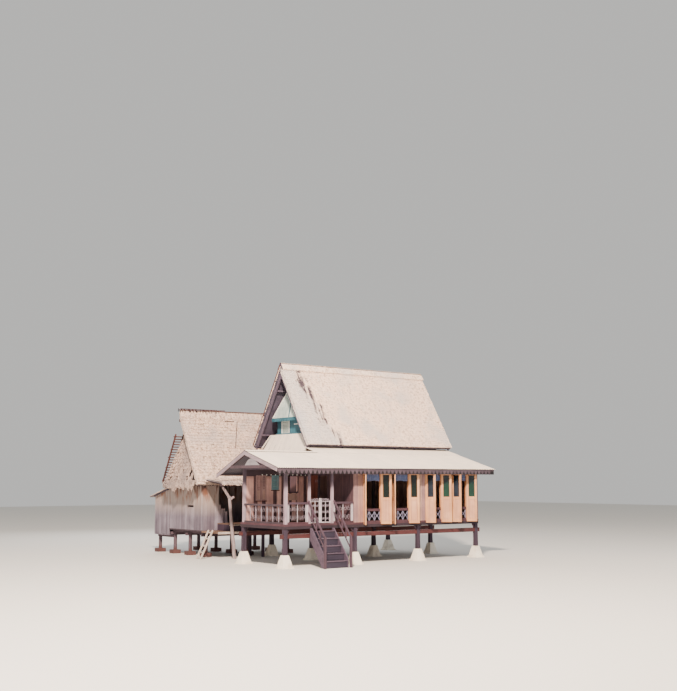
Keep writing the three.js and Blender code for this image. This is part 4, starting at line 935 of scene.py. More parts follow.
for node, x_span, y_span, z_span, pitch, wood in (
        ("hall_floor", (3.06, 8.74), (0.11, 5.19), (1.42, 1.45), 0.18, deck_wood),
        ("verandah_floor", (0.11, 2.86), (0.11, 2.51), (1.42, 1.45), 0.15, deck_wood),
        ("annex_floor", ANNEX_X, ANNEX_Y, (0.95, 1.0), 0.2, beam_wood)):
    work = Work()
    floor_boards(work, x_span, y_span, *z_span, pitch)
    work.make(node + "_boards", [wood], replaces=[node], slot="floor_boards", bevel=0.002)

PASSAGE_RIGHT = 2.7497
work = Work()
floor_boards(work, (0.3, PASSAGE_RIGHT), (4.941, 5.248), 0.93, 1.0, 0.12)
floor_boards(work, (0.3, 0.998), (5.25, 6.199), 0.93, 1.0, 0.12)
floor_boards(work, (1.0, PASSAGE_RIGHT), (5.25, 6.199), 1.24, 1.28, 0.14)
for low, high, kind in (
        ((1.0, 5.252, 1.0), (PASSAGE_RIGHT, 5.28, 1.2), 1),
        ((1.0, 5.2505, 1.2), (PASSAGE_RIGHT, 5.3, 1.239), 2),
        ((0.3, 4.9, 0.915), (1.62, 4.94, 1.0), 2),
        ((1.623, 4.9, 0.905), (PASSAGE_RIGHT, 4.94, 0.99), 2),
        ((1.0, 5.29, 1.0), (1.03, 6.19, 1.238), 1),
        ((PASSAGE_RIGHT - 0.04, 5.29, 0.94), (PASSAGE_RIGHT, 6.19, 1.238), 0),
        *(((0.32, y, 0.885), (PASSAGE_RIGHT - 0.02, y + 0.07, 0.929), 1) for y in (4.93, 5.5, 6.1)),
        *(((2.3, y, 0.0), (2.4, y + 0.1, 0.884), 1) for y in (4.96, 5.9))):
    work.board(low, high, kind)
finishes = [deck_wood, stilt_wood, log_wood]
work.make("passage_floor_boards", finishes, replaces=["passage_floor"], slot="floor_boards", bevel=0.003)


# Windows: lining, two leaves with a glass pane over a wood panel, fretwork guard, cotton valance

LINING = 0.03
LINING_OUT = 0.1
LEAF_WIDE, LEAF_THICK, LEAF_STILE = 0.4, 0.034, 0.075
LEAF_LOW, LEAF_TOP = 1.37, 3.172
PANEL_LOW, PANEL_TOP = 1.46, 2.22
PANE_LOW, PANE_TOP = 2.3, 3.13
GUARD_LOW, GUARD_TOP = 1.5, 1.92
GLASSES = [green_glass, grey_glass, deep_glass]
# How far each left and right leaf stands open, in degrees, and the glass of its pane
LEAVES = (((119, 2), (150, 2)), ((117, 2), (150, 2)), ((66, 1), (146, 0)), ((68, 1), (145, 0)))
VALANCE_DEEP, VALANCE_FULL, VALANCE_Y = 0.235, 1.12, -0.062


def window_leaf(x, y, degrees, wood, glass, pane_kind):
    """A leaf that stands open by these degrees from its hinge edge at x and y."""
    place = Matrix.Translation((x, y, 0)) @ Matrix.Rotation(math.radians(degrees), 4, "Z")
    half = LEAF_THICK / 2
    left, right = LEAF_STILE, LEAF_WIDE - LEAF_STILE

    def block(work, u0, u1, thin, z0, z1, kind=0):
        work.hexa([place @ Vector(c) for c in box((u0, -thin, z0), (u1, thin, z1))], kind)

    for u0, u1 in ((0, left), (right, LEAF_WIDE)):
        block(wood, u0, u1, half, LEAF_LOW, LEAF_TOP)
    for z0, z1 in ((LEAF_LOW, PANEL_LOW), (PANEL_TOP, PANE_LOW), (PANE_TOP, LEAF_TOP)):
        block(wood, left, right, half - 0.001, z0, z1)
    block(wood, left, right, 0.006, PANEL_LOW, PANEL_TOP, 1)
    block(wood, left + 0.035, right - 0.035, 0.011, PANEL_LOW + 0.05, PANEL_TOP - 0.05, 1)
    for z in (PANEL_LOW, PANEL_TOP - 0.012, PANE_LOW, PANE_TOP - 0.012):
        block(wood, left, right, half - 0.004, z, z + 0.012)
    for u in (left, right - 0.012):
        block(wood, u, u + 0.012, half - 0.004, PANE_LOW + 0.012, PANE_TOP - 0.012)
    block(glass, left + 0.004, right - 0.004, 0.003, PANE_LOW + 0.004, PANE_TOP - 0.004, pane_kind)


def fretwork(work, x0, x1, z0, z1, y, kind):
    """A sawn board: three cells, each a cross of curved arms round a boss, between slim uprights."""
    cells = 3
    width = (x1 - x0) / cells
    for i in range(cells + 1):
        x = x0 + i * width
        work.board((x - 0.009, y - 0.009, z0), (x + 0.009, y + 0.009, z1), kind)
    for i in range(cells):
        cx, cz = x0 + (i + 0.5) * width, (z0 + z1) / 2
        w, h = width / 2 - 0.01, (z1 - z0) / 2 - 0.005
        for sx in (-1, 1):
            for sz in (-1, 1):
                corner = (cx + sx * w, y, cz + sz * h)
                elbow = (cx + sx * w * 0.62, y, cz + sz * h * 0.38)
                work.beam((cx, y, cz), elbow, 0.014, 0.022, kind, (0, 1, 0))
                work.beam(elbow, corner, 0.014, 0.022, kind, (0, 1, 0))
        work.pole([(cx, y - 0.009, cz), (cx, y + 0.009, cz)], 0.034, 10, kind)


def hang_valance(name, number, x0, x1):
    """A gathered strip of cotton under the window's head, on a thin rod."""
    cloth = Work()
    wide, columns, rows = x1 - x0 - 0.01, 60, 8
    top_z = WINDOW_HIGH - LINING - 0.012
    points = []
    for r in range(rows + 1):
        down = r / rows
        for c in range(columns + 1):
            u = c / columns
            fold = math.sin(u * math.pi * 2 * 9 + number) * (0.004 + 0.006 * r / rows)
            sag = 0.012 * math.sin(u * math.pi * 3 + number * 1.7) * r / rows
            points.append((x0 + 0.005 + u * wide, VALANCE_Y + fold, top_z - VALANCE_DEEP * r / rows + sag))
    n = columns + 1
    corners = [r * n + c for r in range(rows) for c in range(columns)]
    cloth.member(points, [(a, a + 1, a + n + 1, a + n) for a in corners])
    valance = cloth.make(name + "_valance", [valance_cloth], slot="window_leaf_wood", round_over=180)
    thread = valance.modifiers.new("cloth", "SOLIDIFY")
    thread.thickness = 0.0012
    thread.offset = 0
    rod = Work()
    rod.pole([(x, VALANCE_Y, top_z + 0.004) for x in (x0 + 0.001, x1 - 0.001)], 0.004, 8)
    rod.make(name + "_rod", [grey_iron], slot="wrought_iron_white")


for number, (left, leaves) in enumerate(zip(WINDOW_X, LEAVES), 1):
    (left_angle, left_pane), (right_angle, right_pane) = leaves
    name = f"window_{number}"
    right = left + WINDOW_WIDE
    front = -LINING_OUT
    wood, glass, guard = Work(), Work(), Work()
    for x in (left + SEAT, right - SEAT - LINING):
        wood.board((x, front, FLOOR + SEAT), (x + LINING, WALL_IN, WINDOW_HIGH - SEAT))
    wood.board((left + SEAT + LINING, front, WINDOW_HIGH - LINING),
               (right - SEAT - LINING, WALL_IN, WINDOW_HIGH - SEAT))
    window_leaf(left + 0.018, front + 0.004, -left_angle, wood, glass, left_pane)
    window_leaf(right - 0.018, front + 0.004, right_angle - 180, wood, glass, right_pane)
    finishes = [leaf_wood, panel_wood]
    shutters = wood.make(name + "_shutters", finishes, replaces=[name], slot="window_leaf_wood", bevel=0.002)
    glass.make(name + "_panes", GLASSES, slot="window_leaf_wood")
    x0, x1 = left + LINING + 0.001, right - LINING - 0.001
    guard.board((x0, -0.08, FLOOR + 0.001), (x1, -0.03, GUARD_LOW), 1)
    guard.board((x0, -0.085, GUARD_TOP - 0.09), (x1, -0.025, GUARD_TOP - 0.03), 1)
    guard.board((x0, -0.08, GUARD_TOP - 0.03), (x1, -0.03, GUARD_TOP), 1)
    fretwork(guard, x0 + 0.012, x1 - 0.012, GUARD_LOW, GUARD_TOP - 0.09, -0.055, 0)
    guard.make(name + "_guard", [carved_white, sill_wood], slot="window_leaf_wood", bevel=0.0015)
    hang_valance(name, number, x0, x1)


# Balustrades: wooden rails over white scrolled iron

FLAT_XZ = (Vector((1, 0, 0)), UP)
FLAT_YZ = (Vector((0, 1, 0)), UP)
RAIL_LOW = FLOOR + 0.0605


def scroll_panel(work, origin, plane, width, height, kind=0, radius=0.0055):
    """Paired S curls on both sides of the panel's middle line, from its lower left corner."""
    origin = Vector(origin)
    rows = max(2, round(height / 0.26))
    deep = height / rows
    curl = min(width * 0.24, deep * 0.36)
    for r in range(rows):
        turned = 1 if r % 2 else -1
        for hand in (-1, 1):
            middle = origin + plane[0] * (width / 2 + hand * curl * 1.05) + plane[1] * (r + 0.5) * deep
            scroll(work, middle, plane, curl, 1.2, turned * math.pi / 2, hand * turned, radius, kind, 12)


def front_rails(name, x0, x1, end_bars):
    work = Work()
    high = 2.1095
    work.board((x0, -0.055, FLOOR + 0.0005), (x1, 0.005, FLOOR + 0.06), 1)
    work.board((x0, -0.07, 2.11), (x1, 0.02, 2.145), 2)
    work.board((x0, -0.062, 2.1455), (x1, 0.012, 2.18), 2)
    for x, wide in end_bars:
        work.board((x, -0.042, RAIL_LOW), (x + wide, -0.008, high))
    start = x0 + 0.09
    width = (x1 - 0.09 - start) / 2
    for x in (start, start + width, start + 2 * width):
        work.board((x - 0.010, -0.034, RAIL_LOW), (x + 0.010, -0.016, high))
    for x in (start, start + width):
        scroll_panel(work, (x, -0.025, RAIL_LOW + 0.02), FLAT_XZ, width, high - RAIL_LOW - 0.04, 3)
    finishes = [white_iron, sill_wood, rail_wood, curl_iron]
    work.make(name + "_scrollwork", finishes, replaces=[name], slot="wrought_iron_white", bevel=0.0015)


front_rails("front_balustrade_left", 0.05, 0.925, ((0.06, 0.05), (0.865, 0.05)))
front_rails("front_balustrade_right", 1.975, 2.87, ((1.985, 0.05), (2.79, 0.07)))

work = Work()
y0, y1 = 0.02, 2.55
for half, z0, z1 in ((0.03, FLOOR + 0.0005, FLOOR + 0.06), (0.045, 2.04, 2.075), (0.038, 2.0755, 2.11)):
    work.board((-half, y0, z0), (half, y1, z1), 1)
high, cells = 2.0395, 7
width = (y1 - y0) / cells
for i in range(cells + 1):
    y = min(max(y0 + i * width, y0 + 0.014), y1 - 0.014)
    work.board((-0.013, y - 0.013, RAIL_LOW), (0.013, y + 0.013, high))
for i in range(cells):
    scroll_panel(work, (0, y0 + i * width, RAIL_LOW + 0.01), FLAT_YZ, width, high - RAIL_LOW - 0.02, 0, 0.005)
finishes = [grey_iron, beam_wood]
work.make("side_balustrade_scrollwork", finishes, replaces=["side_balustrade"], slot="wrought_iron_white",
          bevel=0.0015)

# Gate: two leaves of flat bar, scrolls and a scrolled crest

GATE_Y = -0.015
DOOR_LOW, GATE_TOP = 1.47, 2.33
GATE_WIDE, GATE_CREST = 0.4285, 0.13
PIVOT_INSET, PIVOT_LOW = 0.012, FLOOR + 0.0003


def gate_leaf(side, axis_x, hand):
    """A leaf that reaches from its hinge at axis_x to the right (hand 1) or to the left (-1)."""
    work = Work()

    def across(u):
        return axis_x + hand * (u - PIVOT_INSET)

    def flat(u0, u1, z0, z1, half, kind=0):
        x0, x1 = sorted((across(u0), across(u1)))
        work.board((x0, GATE_Y - half, z0), (x1, GATE_Y + half, z1), kind)

    def upright(x, heights, radii, sides):
        work.pole([(x, GATE_Y, z) for z in heights], radii, sides)

    top = GATE_TOP - GATE_CREST
    inner = GATE_WIDE - 0.09
    middle = 0.04 + inner / 2
    flat(0, 0.04, DOOR_LOW, top + 0.02, 0.015)
    flat(GATE_WIDE - 0.05, GATE_WIDE, DOOR_LOW, top + 0.05, 0.015)
    flat(0.0405, GATE_WIDE - 0.0505, DOOR_LOW, DOOR_LOW + 0.035, 0.012)
    flat(0.0405, GATE_WIDE - 0.0505, top - 0.014, top, 0.010)
    flat(middle - 0.009, middle + 0.009, DOOR_LOW + 0.03, top, 0.008)
    plane = (Vector((hand, 0, 0)), UP)
    for u in (0, inner / 2):
        origin = (across(0.04) + hand * u, GATE_Y, DOOR_LOW + 0.04)
        scroll_panel(work, origin, plane, inner / 2, top - DOOR_LOW - 0.07, 1)
    for share, size in ((0.14, 0.05), (0.42, 0.06), (0.74, 0.062)):
        centre = (across(0.04) + hand * share * inner, GATE_Y, top + size * 0.95)
        scroll(work, centre, plane, size, 1.3, -math.pi / 2, 1, 0.0065, 1, 14)
    upright(across(GATE_WIDE - 0.025), (top + 0.05, top + 0.08, GATE_TOP - 0.015), [0.014, 0.024, 0.006], 10)
    upright(axis_x, (PIVOT_LOW, DOOR_LOW + 0.02), 0.010, 10)
    for z in (DOOR_LOW + 0.12, top - 0.12):
        upright(axis_x - hand * 0.006, (z - 0.03, z + 0.03), 0.0115, 8)
    name = "gate_leaf_" + side
    finishes = [white_iron, curl_iron]
    work.make(name + "_scrollwork", finishes, "gate_" + side, [name], "wrought_iron_white", 0.001)


gate_leaf("left", 1.03, 1)
gate_leaf("right", 1.87, -1)

# Hall door: a narrow framed leaf folded back against the wall

DOOR_X, DOOR_TOP, DOOR_STILE = 2.844, 3.1, 0.075
y0, y1 = 2.10, 2.54
rails = ((DOOR_LOW, 1.58), (2.2, 2.29), (3.0, DOOR_TOP))
work = Work()


def on_door(a, b, z0, z1, half, kind=0):
    work.board((DOOR_X - half, a, z0), (DOOR_X + half, b, z1), kind)


for a, b in ((y0, y0 + DOOR_STILE), (y1 - DOOR_STILE, y1)):
    on_door(a, b, DOOR_LOW, DOOR_TOP, 0.017)
for z0, z1 in rails:
    on_door(y0 + 0.0755, y1 - 0.0755, z0, z1, 0.016)
for (_, z0), (z1, _) in zip(rails, rails[1:]):
    on_door(y0 + 0.076, y1 - 0.076, z0 + 0.0005, z1 - 0.0005, 0.007)
    on_door(y0 + 0.115, y1 - 0.115, z0 + 0.045, z1 - 0.045, 0.0125)
on_door(y0 - 0.018, y0 - 0.0005, DOOR_LOW, DOOR_LOW + 0.06, 0.017)
work.pole([(DOOR_X, DOORWAYS_Y[0][1], z) for z in (PIVOT_LOW, DOOR_LOW + 0.02)], 0.010, 10, 1)
for z in (1.75, 2.9):
    work.board((DOOR_X - 0.016, y0 - 0.0195, z - 0.05), (DOOR_X - 0.013, y0 + 0.1, z + 0.05), 1)
turns = [t * math.pi / 6 for t in range(13)]
ring = [(DOOR_X - 0.021, y1 - 0.037 + 0.022 * math.sin(t), 2.21 + 0.022 * math.cos(t)) for t in turns]
work.pole(ring, 0.003, 6, 1)
work.make("hall_door_leaf", [door_wood, grey_iron], "hall_door", ["hall_door"], "door_wood", 0.002)

# Stair: closed risers between two strings, worn treads with a rounded nose

RISERS = 6
RISER = FLOOR / RISERS
TREAD = 0.175
STRING = 0.045
STAIR_BACK = -0.0903
STAIR_X = (0.97, 1.94)
TREADS_DEEP = (RISERS - 1) * TREAD
left, right = STAIR_X[0] + STRING + 0.0005, STAIR_X[1] - STRING - 0.0005
work = Work()
for step in range(1, RISERS):
    back = STAIR_BACK - (RISERS - 1 - step) * TREAD
    top = step * RISER
    nose = back - TREAD - 0.02
    under = top - 0.036
    profile = ((back, under), (nose + 0.01, under), (nose, top - 0.026), (nose, top - 0.012),
               (nose + 0.012, top), (back, top))
    work.slab([(left, y, z) for y, z in profile], (right - left, 0, 0))
    work.board((left + 0.001, back - TREAD + 0.002, top - RISER + 0.001),
               (right - 0.001, back - TREAD + 0.024, top - 0.037), 1)
front = STAIR_BACK - TREADS_DEEP - 0.03
top = TREADS_DEEP / TREAD * RISER + 0.09
outline = [(front, 0), (front + 0.2, 0), (STAIR_BACK, 0.9), (STAIR_BACK, top), (STAIR_BACK - 0.09, top),
           (front, RISER + 0.06)]
for x in (STAIR_X[0], STAIR_X[1] - STRING):
    work.slab([(x, y, z) for y, z in outline], (STRING, 0, 0))
work.make("stair_treads", [stair_wood, riser_wood], replaces=["stair"], slot="stair_wood", bevel=0.003)

# Stair rails: a newel with a cut cap, a handrail, a lower rail and three uprights

NEWEL_Y, NEWEL_TOP, NEWEL_HALF = STAIR_BACK - TREADS_DEEP - 0.075, 1.01, 0.04
RAIL_END_Y = -0.08
RAIL_RISE = (2.23 - NEWEL_TOP) / (RAIL_END_Y - NEWEL_Y)


def rail_z(y):
    return NEWEL_TOP + (y - NEWEL_Y) * RAIL_RISE


for name, x in (("stair_rail_left", 0.915), ("stair_rail_right", 1.995)):
    work = Work()
    work.board((x - 0.035, NEWEL_Y - NEWEL_HALF, 0), (x + 0.035, NEWEL_Y + NEWEL_HALF, 1.03))
    foot = box((x - 0.033, NEWEL_Y - 0.038, 1.031), (x + 0.033, NEWEL_Y + 0.038, 1.07))[:4]
    cap = box((x - 0.015, NEWEL_Y - 0.02, 1.03), (x + 0.015, NEWEL_Y + 0.02, 1.07))[4:]
    work.hexa(foot + cap)
    y0, y1 = NEWEL_Y + NEWEL_HALF + 0.0005, RAIL_END_Y - SEAT
    for offset, half_deep, half_wide in ((-0.0125, 0.025, 0.035), (-0.4, 0.0225, 0.02)):
        ring = [(x - half_wide, y, rail_z(y) + offset + side * half_deep)
                for side, y in ((-1, y0), (-1, y1), (1, y1), (1, y0))]
        work.slab(ring, (2 * half_wide, 0, 0))
    for share in (0.28, 0.52, 0.76):
        y = NEWEL_Y + share * (RAIL_END_Y - NEWEL_Y)
        work.board((x - 0.018, y - 0.018, rail_z(y) - 0.374), (x + 0.018, y + 0.018, rail_z(y) - 0.05))
    work.make(name + "_timber", [rail_wood], replaces=[name], slot="barge_board", bevel=0.003)


# Gable screens: leaning boarded panel with scalloped edges, teal shelf and band, zinc apron

SCREEN_LOW, SCREEN_PEAK, SCREEN_LEAN = 5.32, 6.8, 0.264
BAND_LOW, APRON_LOW, APRON_TOP, APRON_LEAN = 4.6443, 4.19, 4.76, 0.38
SKIRT_LOW, SKIRT_HALF = 3.97, 1.5425
SLOPE_GAP = 0.115
BOARD_THICK = 0.028
INNER_SLOPE = (RIDGE_Z - EAVE_Z) / (EAVE_HALF - 0.0002)
INNER_RIDGE_Z = RIDGE_Z - 0.16 * math.hypot(EAVE_HALF, RIDGE_Z - EAVE_Z) / EAVE_HALF
SCREEN, TRIM, TEAL_TRIM, APRON, POST = range(5)


def screen_half(z):
    return (INNER_RIDGE_Z - z) / INNER_SLOPE - SLOPE_GAP


def screen_top(y):
    """How high the screen reaches here under the thatch."""
    return max(SCREEN_LOW + 0.0175, min(SCREEN_PEAK, INNER_RIDGE_Z - (abs(y) + SLOPE_GAP) * INNER_SLOPE))


def screen_x(z):
    return -0.25 + SCREEN_LEAN * (z - SCREEN_LOW)


def apron_x(z):
    return -0.30 + APRON_LEAN * (z - APRON_LOW)


def gable_screen(name, wall_x, sign):
    """wall_x is the screen's wall line; sign is 1 where it leans out towards -X."""
    work = Work()

    def at(dx, y, z):
        return (wall_x + sign * dx, RIDGE_Y + y, z)

    def panel(lean, outer, inner, low, high, kind):
        """A board that leans with the screen: low and high are (z, y0, y1) of its ends."""
        work.hexa([at(lean(z) + dx, y, z) for z, a, b in (low, high)
                   for dx, y in ((outer, a), (inner, a), (inner, b), (outer, b))], kind)

    def upright(y0, y1, z0, z1, kind, outer=-BOARD_THICK, inner=0):
        """A board on the wall line."""
        x0, x1 = sorted((wall_x + sign * outer, wall_x + sign * inner))
        work.board((x0, RIDGE_Y + y0, z0), (x1, RIDGE_Y + y1, z1), kind)

    # Boards of the screen, each as high as the thatch allows
    base = screen_half(SCREEN_LOW)
    edges = steps(-base, base, 0.16, 0.05)
    low = SCREEN_LOW + 0.0155
    for a, b in zip(edges, edges[1:]):
        a, b = a + 0.0015, b - 0.0015
        outer = -BOARD_THICK + abs(wobble(0.003))
        za, zb = screen_top(a), screen_top(b)
        corners = [(low, outer, a), (low, 0, a), (low, 0, b), (low, outer, b),
                   (za, outer, a), (za, 0, a), (zb, 0, b), (zb, outer, b)]
        work.hexa([at(screen_x(z) + dx, y, z) for z, dx, y in corners])

    # Scalloped white edge along both slopes, and a teal batten up the middle
    teeth, tooth_low = 14, SCREEN_LOW + 0.03
    tooth_high = (SCREEN_PEAK - SCREEN_LOW - 0.08) / teeth
    for side in (-1, 1):
        for k in range(teeth):
            z0, z1 = (tooth_low + tooth_high * teeth * (j / teeth) for j in (k, k + 1))
            middle = (z0 + z1) / 2
            ring = [(z0, 0.005), (z1, 0.005), (z1, 0.06), (middle, SLOPE_GAP), (z0, 0.06)]
            points = [at(screen_x(z) - 0.042, side * (screen_half(z) - inset), z)
                      for z, inset in ring if screen_half(z) - inset > 0.005]
            if len(points) >= 4:
                work.slab(points, (sign * 0.012, 0, 0), TRIM)
    panel(screen_x, -0.05, -0.029, (5.345, -0.215, -0.175), (6.6, -0.02, 0.02), TEAL_TRIM)

    # Teal shelf with rounded teeth under the screen
    band = base - 0.015
    shelf = [(-0.285, -0.018), (0, -0.018), (0, 0.014), (-0.285, 0.014)]
    work.slab([at(dx, -band - 0.03, SCREEN_LOW + dz) for dx, dz in shelf], (0, 2 * band + 0.06, 0), TEAL_TRIM)
    scallops(work, lambda u, v, w: at(-0.284 + w, u, v), (-band - 0.02, band + 0.02),
             SCREEN_LOW - 0.018, SCREEN_LOW - 0.13, 0.07, 0.11, 0.016, TEAL_TRIM)

    # Band of teal boards with a pale louvred window on the rear side of the middle
    y0, y1 = 0.12, 0.68
    top = SCREEN_LOW - 0.019
    for span in ((-band, y0), (y1, band)):
        edges = steps(*span, 0.15, 0.04)
        for a, b in zip(edges, edges[1:]):
            upright(a + 0.0015, b - 0.0015, BAND_LOW, top, TEAL_TRIM)
    for a, b in ((y0, y0 + 0.05), (y1 - 0.05, y1)):
        upright(a + 0.001, b - 0.001, BAND_LOW, top, TRIM)
    for z0, z1 in ((BAND_LOW, BAND_LOW + 0.12), (top - 0.06, top)):
        upright(y0 + 0.05, y1 - 0.05, z0, z1, TRIM)
    for slat in range(8):
        z = BAND_LOW + 0.15 + slat * 0.058
        work.beam(at(-0.015, y0 + 0.052, z), at(-0.015, y1 - 0.052, z), 0.014, 0.05, SCREEN, (sign, 0, 0.5))
    upright(-0.5, -0.2, 5.06, 5.1, TRIM, -0.036, -BOARD_THICK)
    upright(-band, band, APRON_TOP - 0.06, APRON_TOP - 0.015, TEAL_TRIM, -0.1, -0.031)

    # Zinc apron over the eave, and the post behind the screen
    strips = 18
    low_half, high_half = screen_half(APRON_LOW), screen_half(APRON_TOP)
    skirt = [-SKIRT_HALF + 2 * SKIRT_HALF * k / (strips - 2) for k in range(strips - 1)]
    lines = [-low_half, *skirt, low_half]
    for k, (a, b) in enumerate(zip(lines, lines[1:])):
        lift = 0.004 * (k % 2)
        foot = SKIRT_LOW if 0 < k < strips - 1 else APRON_LOW
        top_a, top_b = a * high_half / low_half, b * high_half / low_half
        panel(apron_x, -0.02 - lift, -0.004 - lift, (foot, a + 0.001, b - 0.001),
              (APRON_TOP - 0.062, top_a + 0.001, top_b - 0.001), APRON)
    upright(-0.04, 0.04, SCREEN_LOW + 0.015, SCREEN_PEAK - 0.15, POST)
    finishes = [gable_wood, white_trim, teal_wood, zinc, beam_wood]
    work.make(name + "_boards", finishes, replaces=[name], slot="gable_board", bevel=0.002)


gable_screen("left_gable_screen", BAY, 1)
gable_screen("right_gable_screen", 3 * BAY, -1)

# Scalloped fringe along the front eave, with a moulded board over it. A strip painted dark along its top is
# the zinc's shadow, and a board painted dark behind the teeth is the shade under the eave.

FRINGE_X = (ZINC_X[0] + 0.04, ZINC_X[1] - 0.06)
FRINGE_TOP = under_zinc(ZINC_EAVE_Y + 0.02) - SEAT - 0.001
TOOTH = 0.18
HALF_TOOTH = ((0.47, 0.0), (0.36, -0.04), (0.24, -0.085), (0.12, -0.125), (0.0, -0.143))
work = Work()
for y0, y1, z0, z1, kind in ((-0.479, -0.455, 0.025, 0.0, 2), (-0.479, -0.455, 0.0605, 0.0255, 0),
                             (-0.472, -0.4555, 0.188, 0.061, 1)):
    work.board((FRINGE_X[0], y0, FRINGE_TOP - z0), (FRINGE_X[1], y1, FRINGE_TOP - z1), kind)
for i in range(int((FRINGE_X[1] - FRINGE_X[0]) / TOOTH)):
    middle = FRINGE_X[0] + (i + 0.5) * TOOTH
    profile = [(middle - u * TOOTH, FRINGE_TOP - 0.061 + v) for u, v in HALF_TOOTH]
    profile += [(2 * middle - u, v) for u, v in reversed(profile[:-1])]
    work.slab([(u, -0.4785, v) for u, v in profile], (0, 0.006, 0))
finishes = [fringe_wood, teeth_gap_shade_wood, sill_shade_wood]
work.make("eave_fringe_board", finishes, replaces=["eave_fringe"], slot="fringe_board", bevel=0.001)

# Barge boards of the wing with a thin zinc edge and a tie board

BARGE_X = ZINC_X[0] - 0.0303
FRONT_END, BACK_END = ZINC_EAVE_Y - 0.02, WING_BACK_Y + 0.02
work = Work()
for y0, z0, y1 in ((FRONT_END, under_zinc(FRONT_END), WING_RIDGE_Y - 0.001),
                   (BACK_END, under_wing_back(BACK_END), WING_RIDGE_Y + 0.001)):
    for inset, low, high, thick, kind in ((0.004, -0.11, 0.0255, 0.025, 0), (0, 0.026, 0.04, 0.03, 2),
                                          (0, -0.1, -0.08, 0.0035, 0)):
        ring = ((y0, z0 + low), (y1, WING_RIDGE_Z + low), (y1, WING_RIDGE_Z + high), (y0, z0 + high))
        work.slab([(BARGE_X + inset, y, z) for y, z in ring], (thick, 0, 0), kind)
work.board((BARGE_X + 0.006, 0.15, 3.335), (BARGE_X + 0.028, 2.45, 3.435), 2)
half_dome = ((0.55, 3.4355), (1.5, 3.4355), (1.28, 3.62), (1.0, 3.7))
work.slab([(BARGE_X + 0.01, y, z) for y, z in half_dome], (0.012, 0, 0), 3)
finishes = [barge_wood, white_trim, beam_wood, tie_wood]
work.make("wing_barge_timber", finishes, replaces=["wing_barge_boards"], slot="barge_board", bevel=0.002)


# Footings, stilts and girders

FOOTING_LEVELS = ((0.0, 0.24), (0.043, 0.238), (0.05, 0.204), (0.12, 0.185), (0.22, 0.159), (0.32, 0.132),
                  (0.415, 0.108), (FOOT, 0.1))
STILT_HALF = 0.073
GIRDER_OVER = 0.2
SQUARE = ((-1, -1), (1, -1), (1, 1), (-1, 1))


def footing(x, y, name):
    """A cast plinth and a cut-off pyramid, edges knocked round, faces a little uneven."""
    work = Work()
    sides = 5
    points = []
    for z, half in FOOTING_LEVELS:
        for side in range(4):
            for k in range(sides):
                t = -1 + 2 * k / sides
                px, py = [(t, -1), (1, t), (-t, 1), (-1, -t)][side]
                corner = 1 - 0.035 * max(0, abs(t) - 0.7) / 0.3
                reach = half * corner * (1 - abs(wobble(0.012 if 0 < z < FOOT else 0.004)))
                points.append((x + px * reach, y + py * reach, z))
    work.rings(points, 4 * sides)
    work.make(name + "_cast", [limewash], replaces=[name], slot="whitewash", round_over=30)


for row, y, xs in (("front", 0.0, (0, BAY, 2 * BAY, 3 * BAY)), ("middle", 2.6, (0, BAY, 2 * BAY, 3 * BAY)),
                   ("back", 5.3, (BAY, 2 * BAY, 3 * BAY))):
    work = Work()
    for index, x in enumerate(xs, 1):
        footing(x, y, f"footing_{row}_{index}")
        bow = wobble(0.012 if row == "middle" else 0.004)
        points = []
        for z, dx in ((FOOT + 0.0005, 0), (0.7, bow), (0.95, bow * 0.6), (1.2795, 0)):
            half = STILT_HALF - (0.004 if z > 0.5 else 0.0)
            for px, py in SQUARE:
                points.append((x + px * (half + wobble(0.002)) + dx, y + py * (half + wobble(0.002)), z))
        work.rings(points, 4)
        for side in (-1, 1):
            if (index, side) not in ((1, -1), (len(xs), 1)):
                work.beam((x + side * 0.066, y, 1.13), (x + side * 0.17, y, 1.272), 0.045, 0.04, 2, (0, 1, 0))
        work.pole([(x, y - 0.082, 1.045), (x, y + 0.082, 1.045)], 0.014, 8, 0)
    work.board((xs[0] - GIRDER_OVER, y - 0.035, 0.97), (xs[-1] + GIRDER_OVER, y + 0.035, 1.12), 1)
    finishes = [stilt_wood, girder_wood, rail_wood]
    work.make(f"{row}_stilt_timber", finishes, replaces=[f"{row}_stilts"], slot="dark_post_wood", bevel=0.006)


# Annex: thatch in uneven courses, torn near the left end where battens show

ANNEX_RIGHT, ANNEX_THICK = 5.0, 0.129
ANNEX_FALL = 1.819

for name, side, x0, courses in (("annex_thatch_front", -1, 0.0, 24), ("annex_thatch_back", 1, 0.45, 22)):
    work = Work()
    eave = (ANNEX_RIDGE_Y + side * ANNEX_HALF, ANNEX_EAVE_Z)
    ridge = (ANNEX_RIDGE_Y + side * 0.0002, ANNEX_RIDGE_Z)
    thatch_slope(work, eave, ridge, (x0, ANNEX_RIGHT), courses, 0.04, ANNEX_THICK, 0.07, 0.05)
    ends = [(x, eave[0] - side * 0.02, eave[1] - 0.01) for x in (x0 + 0.02, ANNEX_RIGHT - 0.02)]
    hanging_edge(work, ends, (0, -side, 0.4), (0, -side * 0.75, -0.5), 110, 0.13, 0.1, 3, 2)
    rake_edge(work, x0, -1, eave, ridge, 0.12, 18)
    rake_edge(work, ANNEX_RIGHT, 1, eave, ridge, 0.12, 18)
    work.make(name + "_leaf", [annex_thatch, painted_shade_thatch], replaces=[name], slot="thatch")

work = Work()
eave, top = ((y, lean_under(y) + 0.07) for y in (10.55, LEAN_HIGH_Y))
thatch_slope(work, eave, top, (0.24, 2.75), 12, 0.04, 0.069, 0.04, 0.035)
ends = [(x, eave[0] - 0.02, eave[1] - 0.005) for x in (0.26, 2.73)]
hanging_edge(work, ends, (0, -1, 0.2), (0, -0.3, -1), 60, 0.08, 0.06, 2, 2)
work.make("lean_to_leaf", [annex_thatch, painted_shade_thatch], replaces=["lean_to_roof"], slot="thatch")

# Thatched gable end of the annex: a leaning panel of leaf in rows, with worn gaps

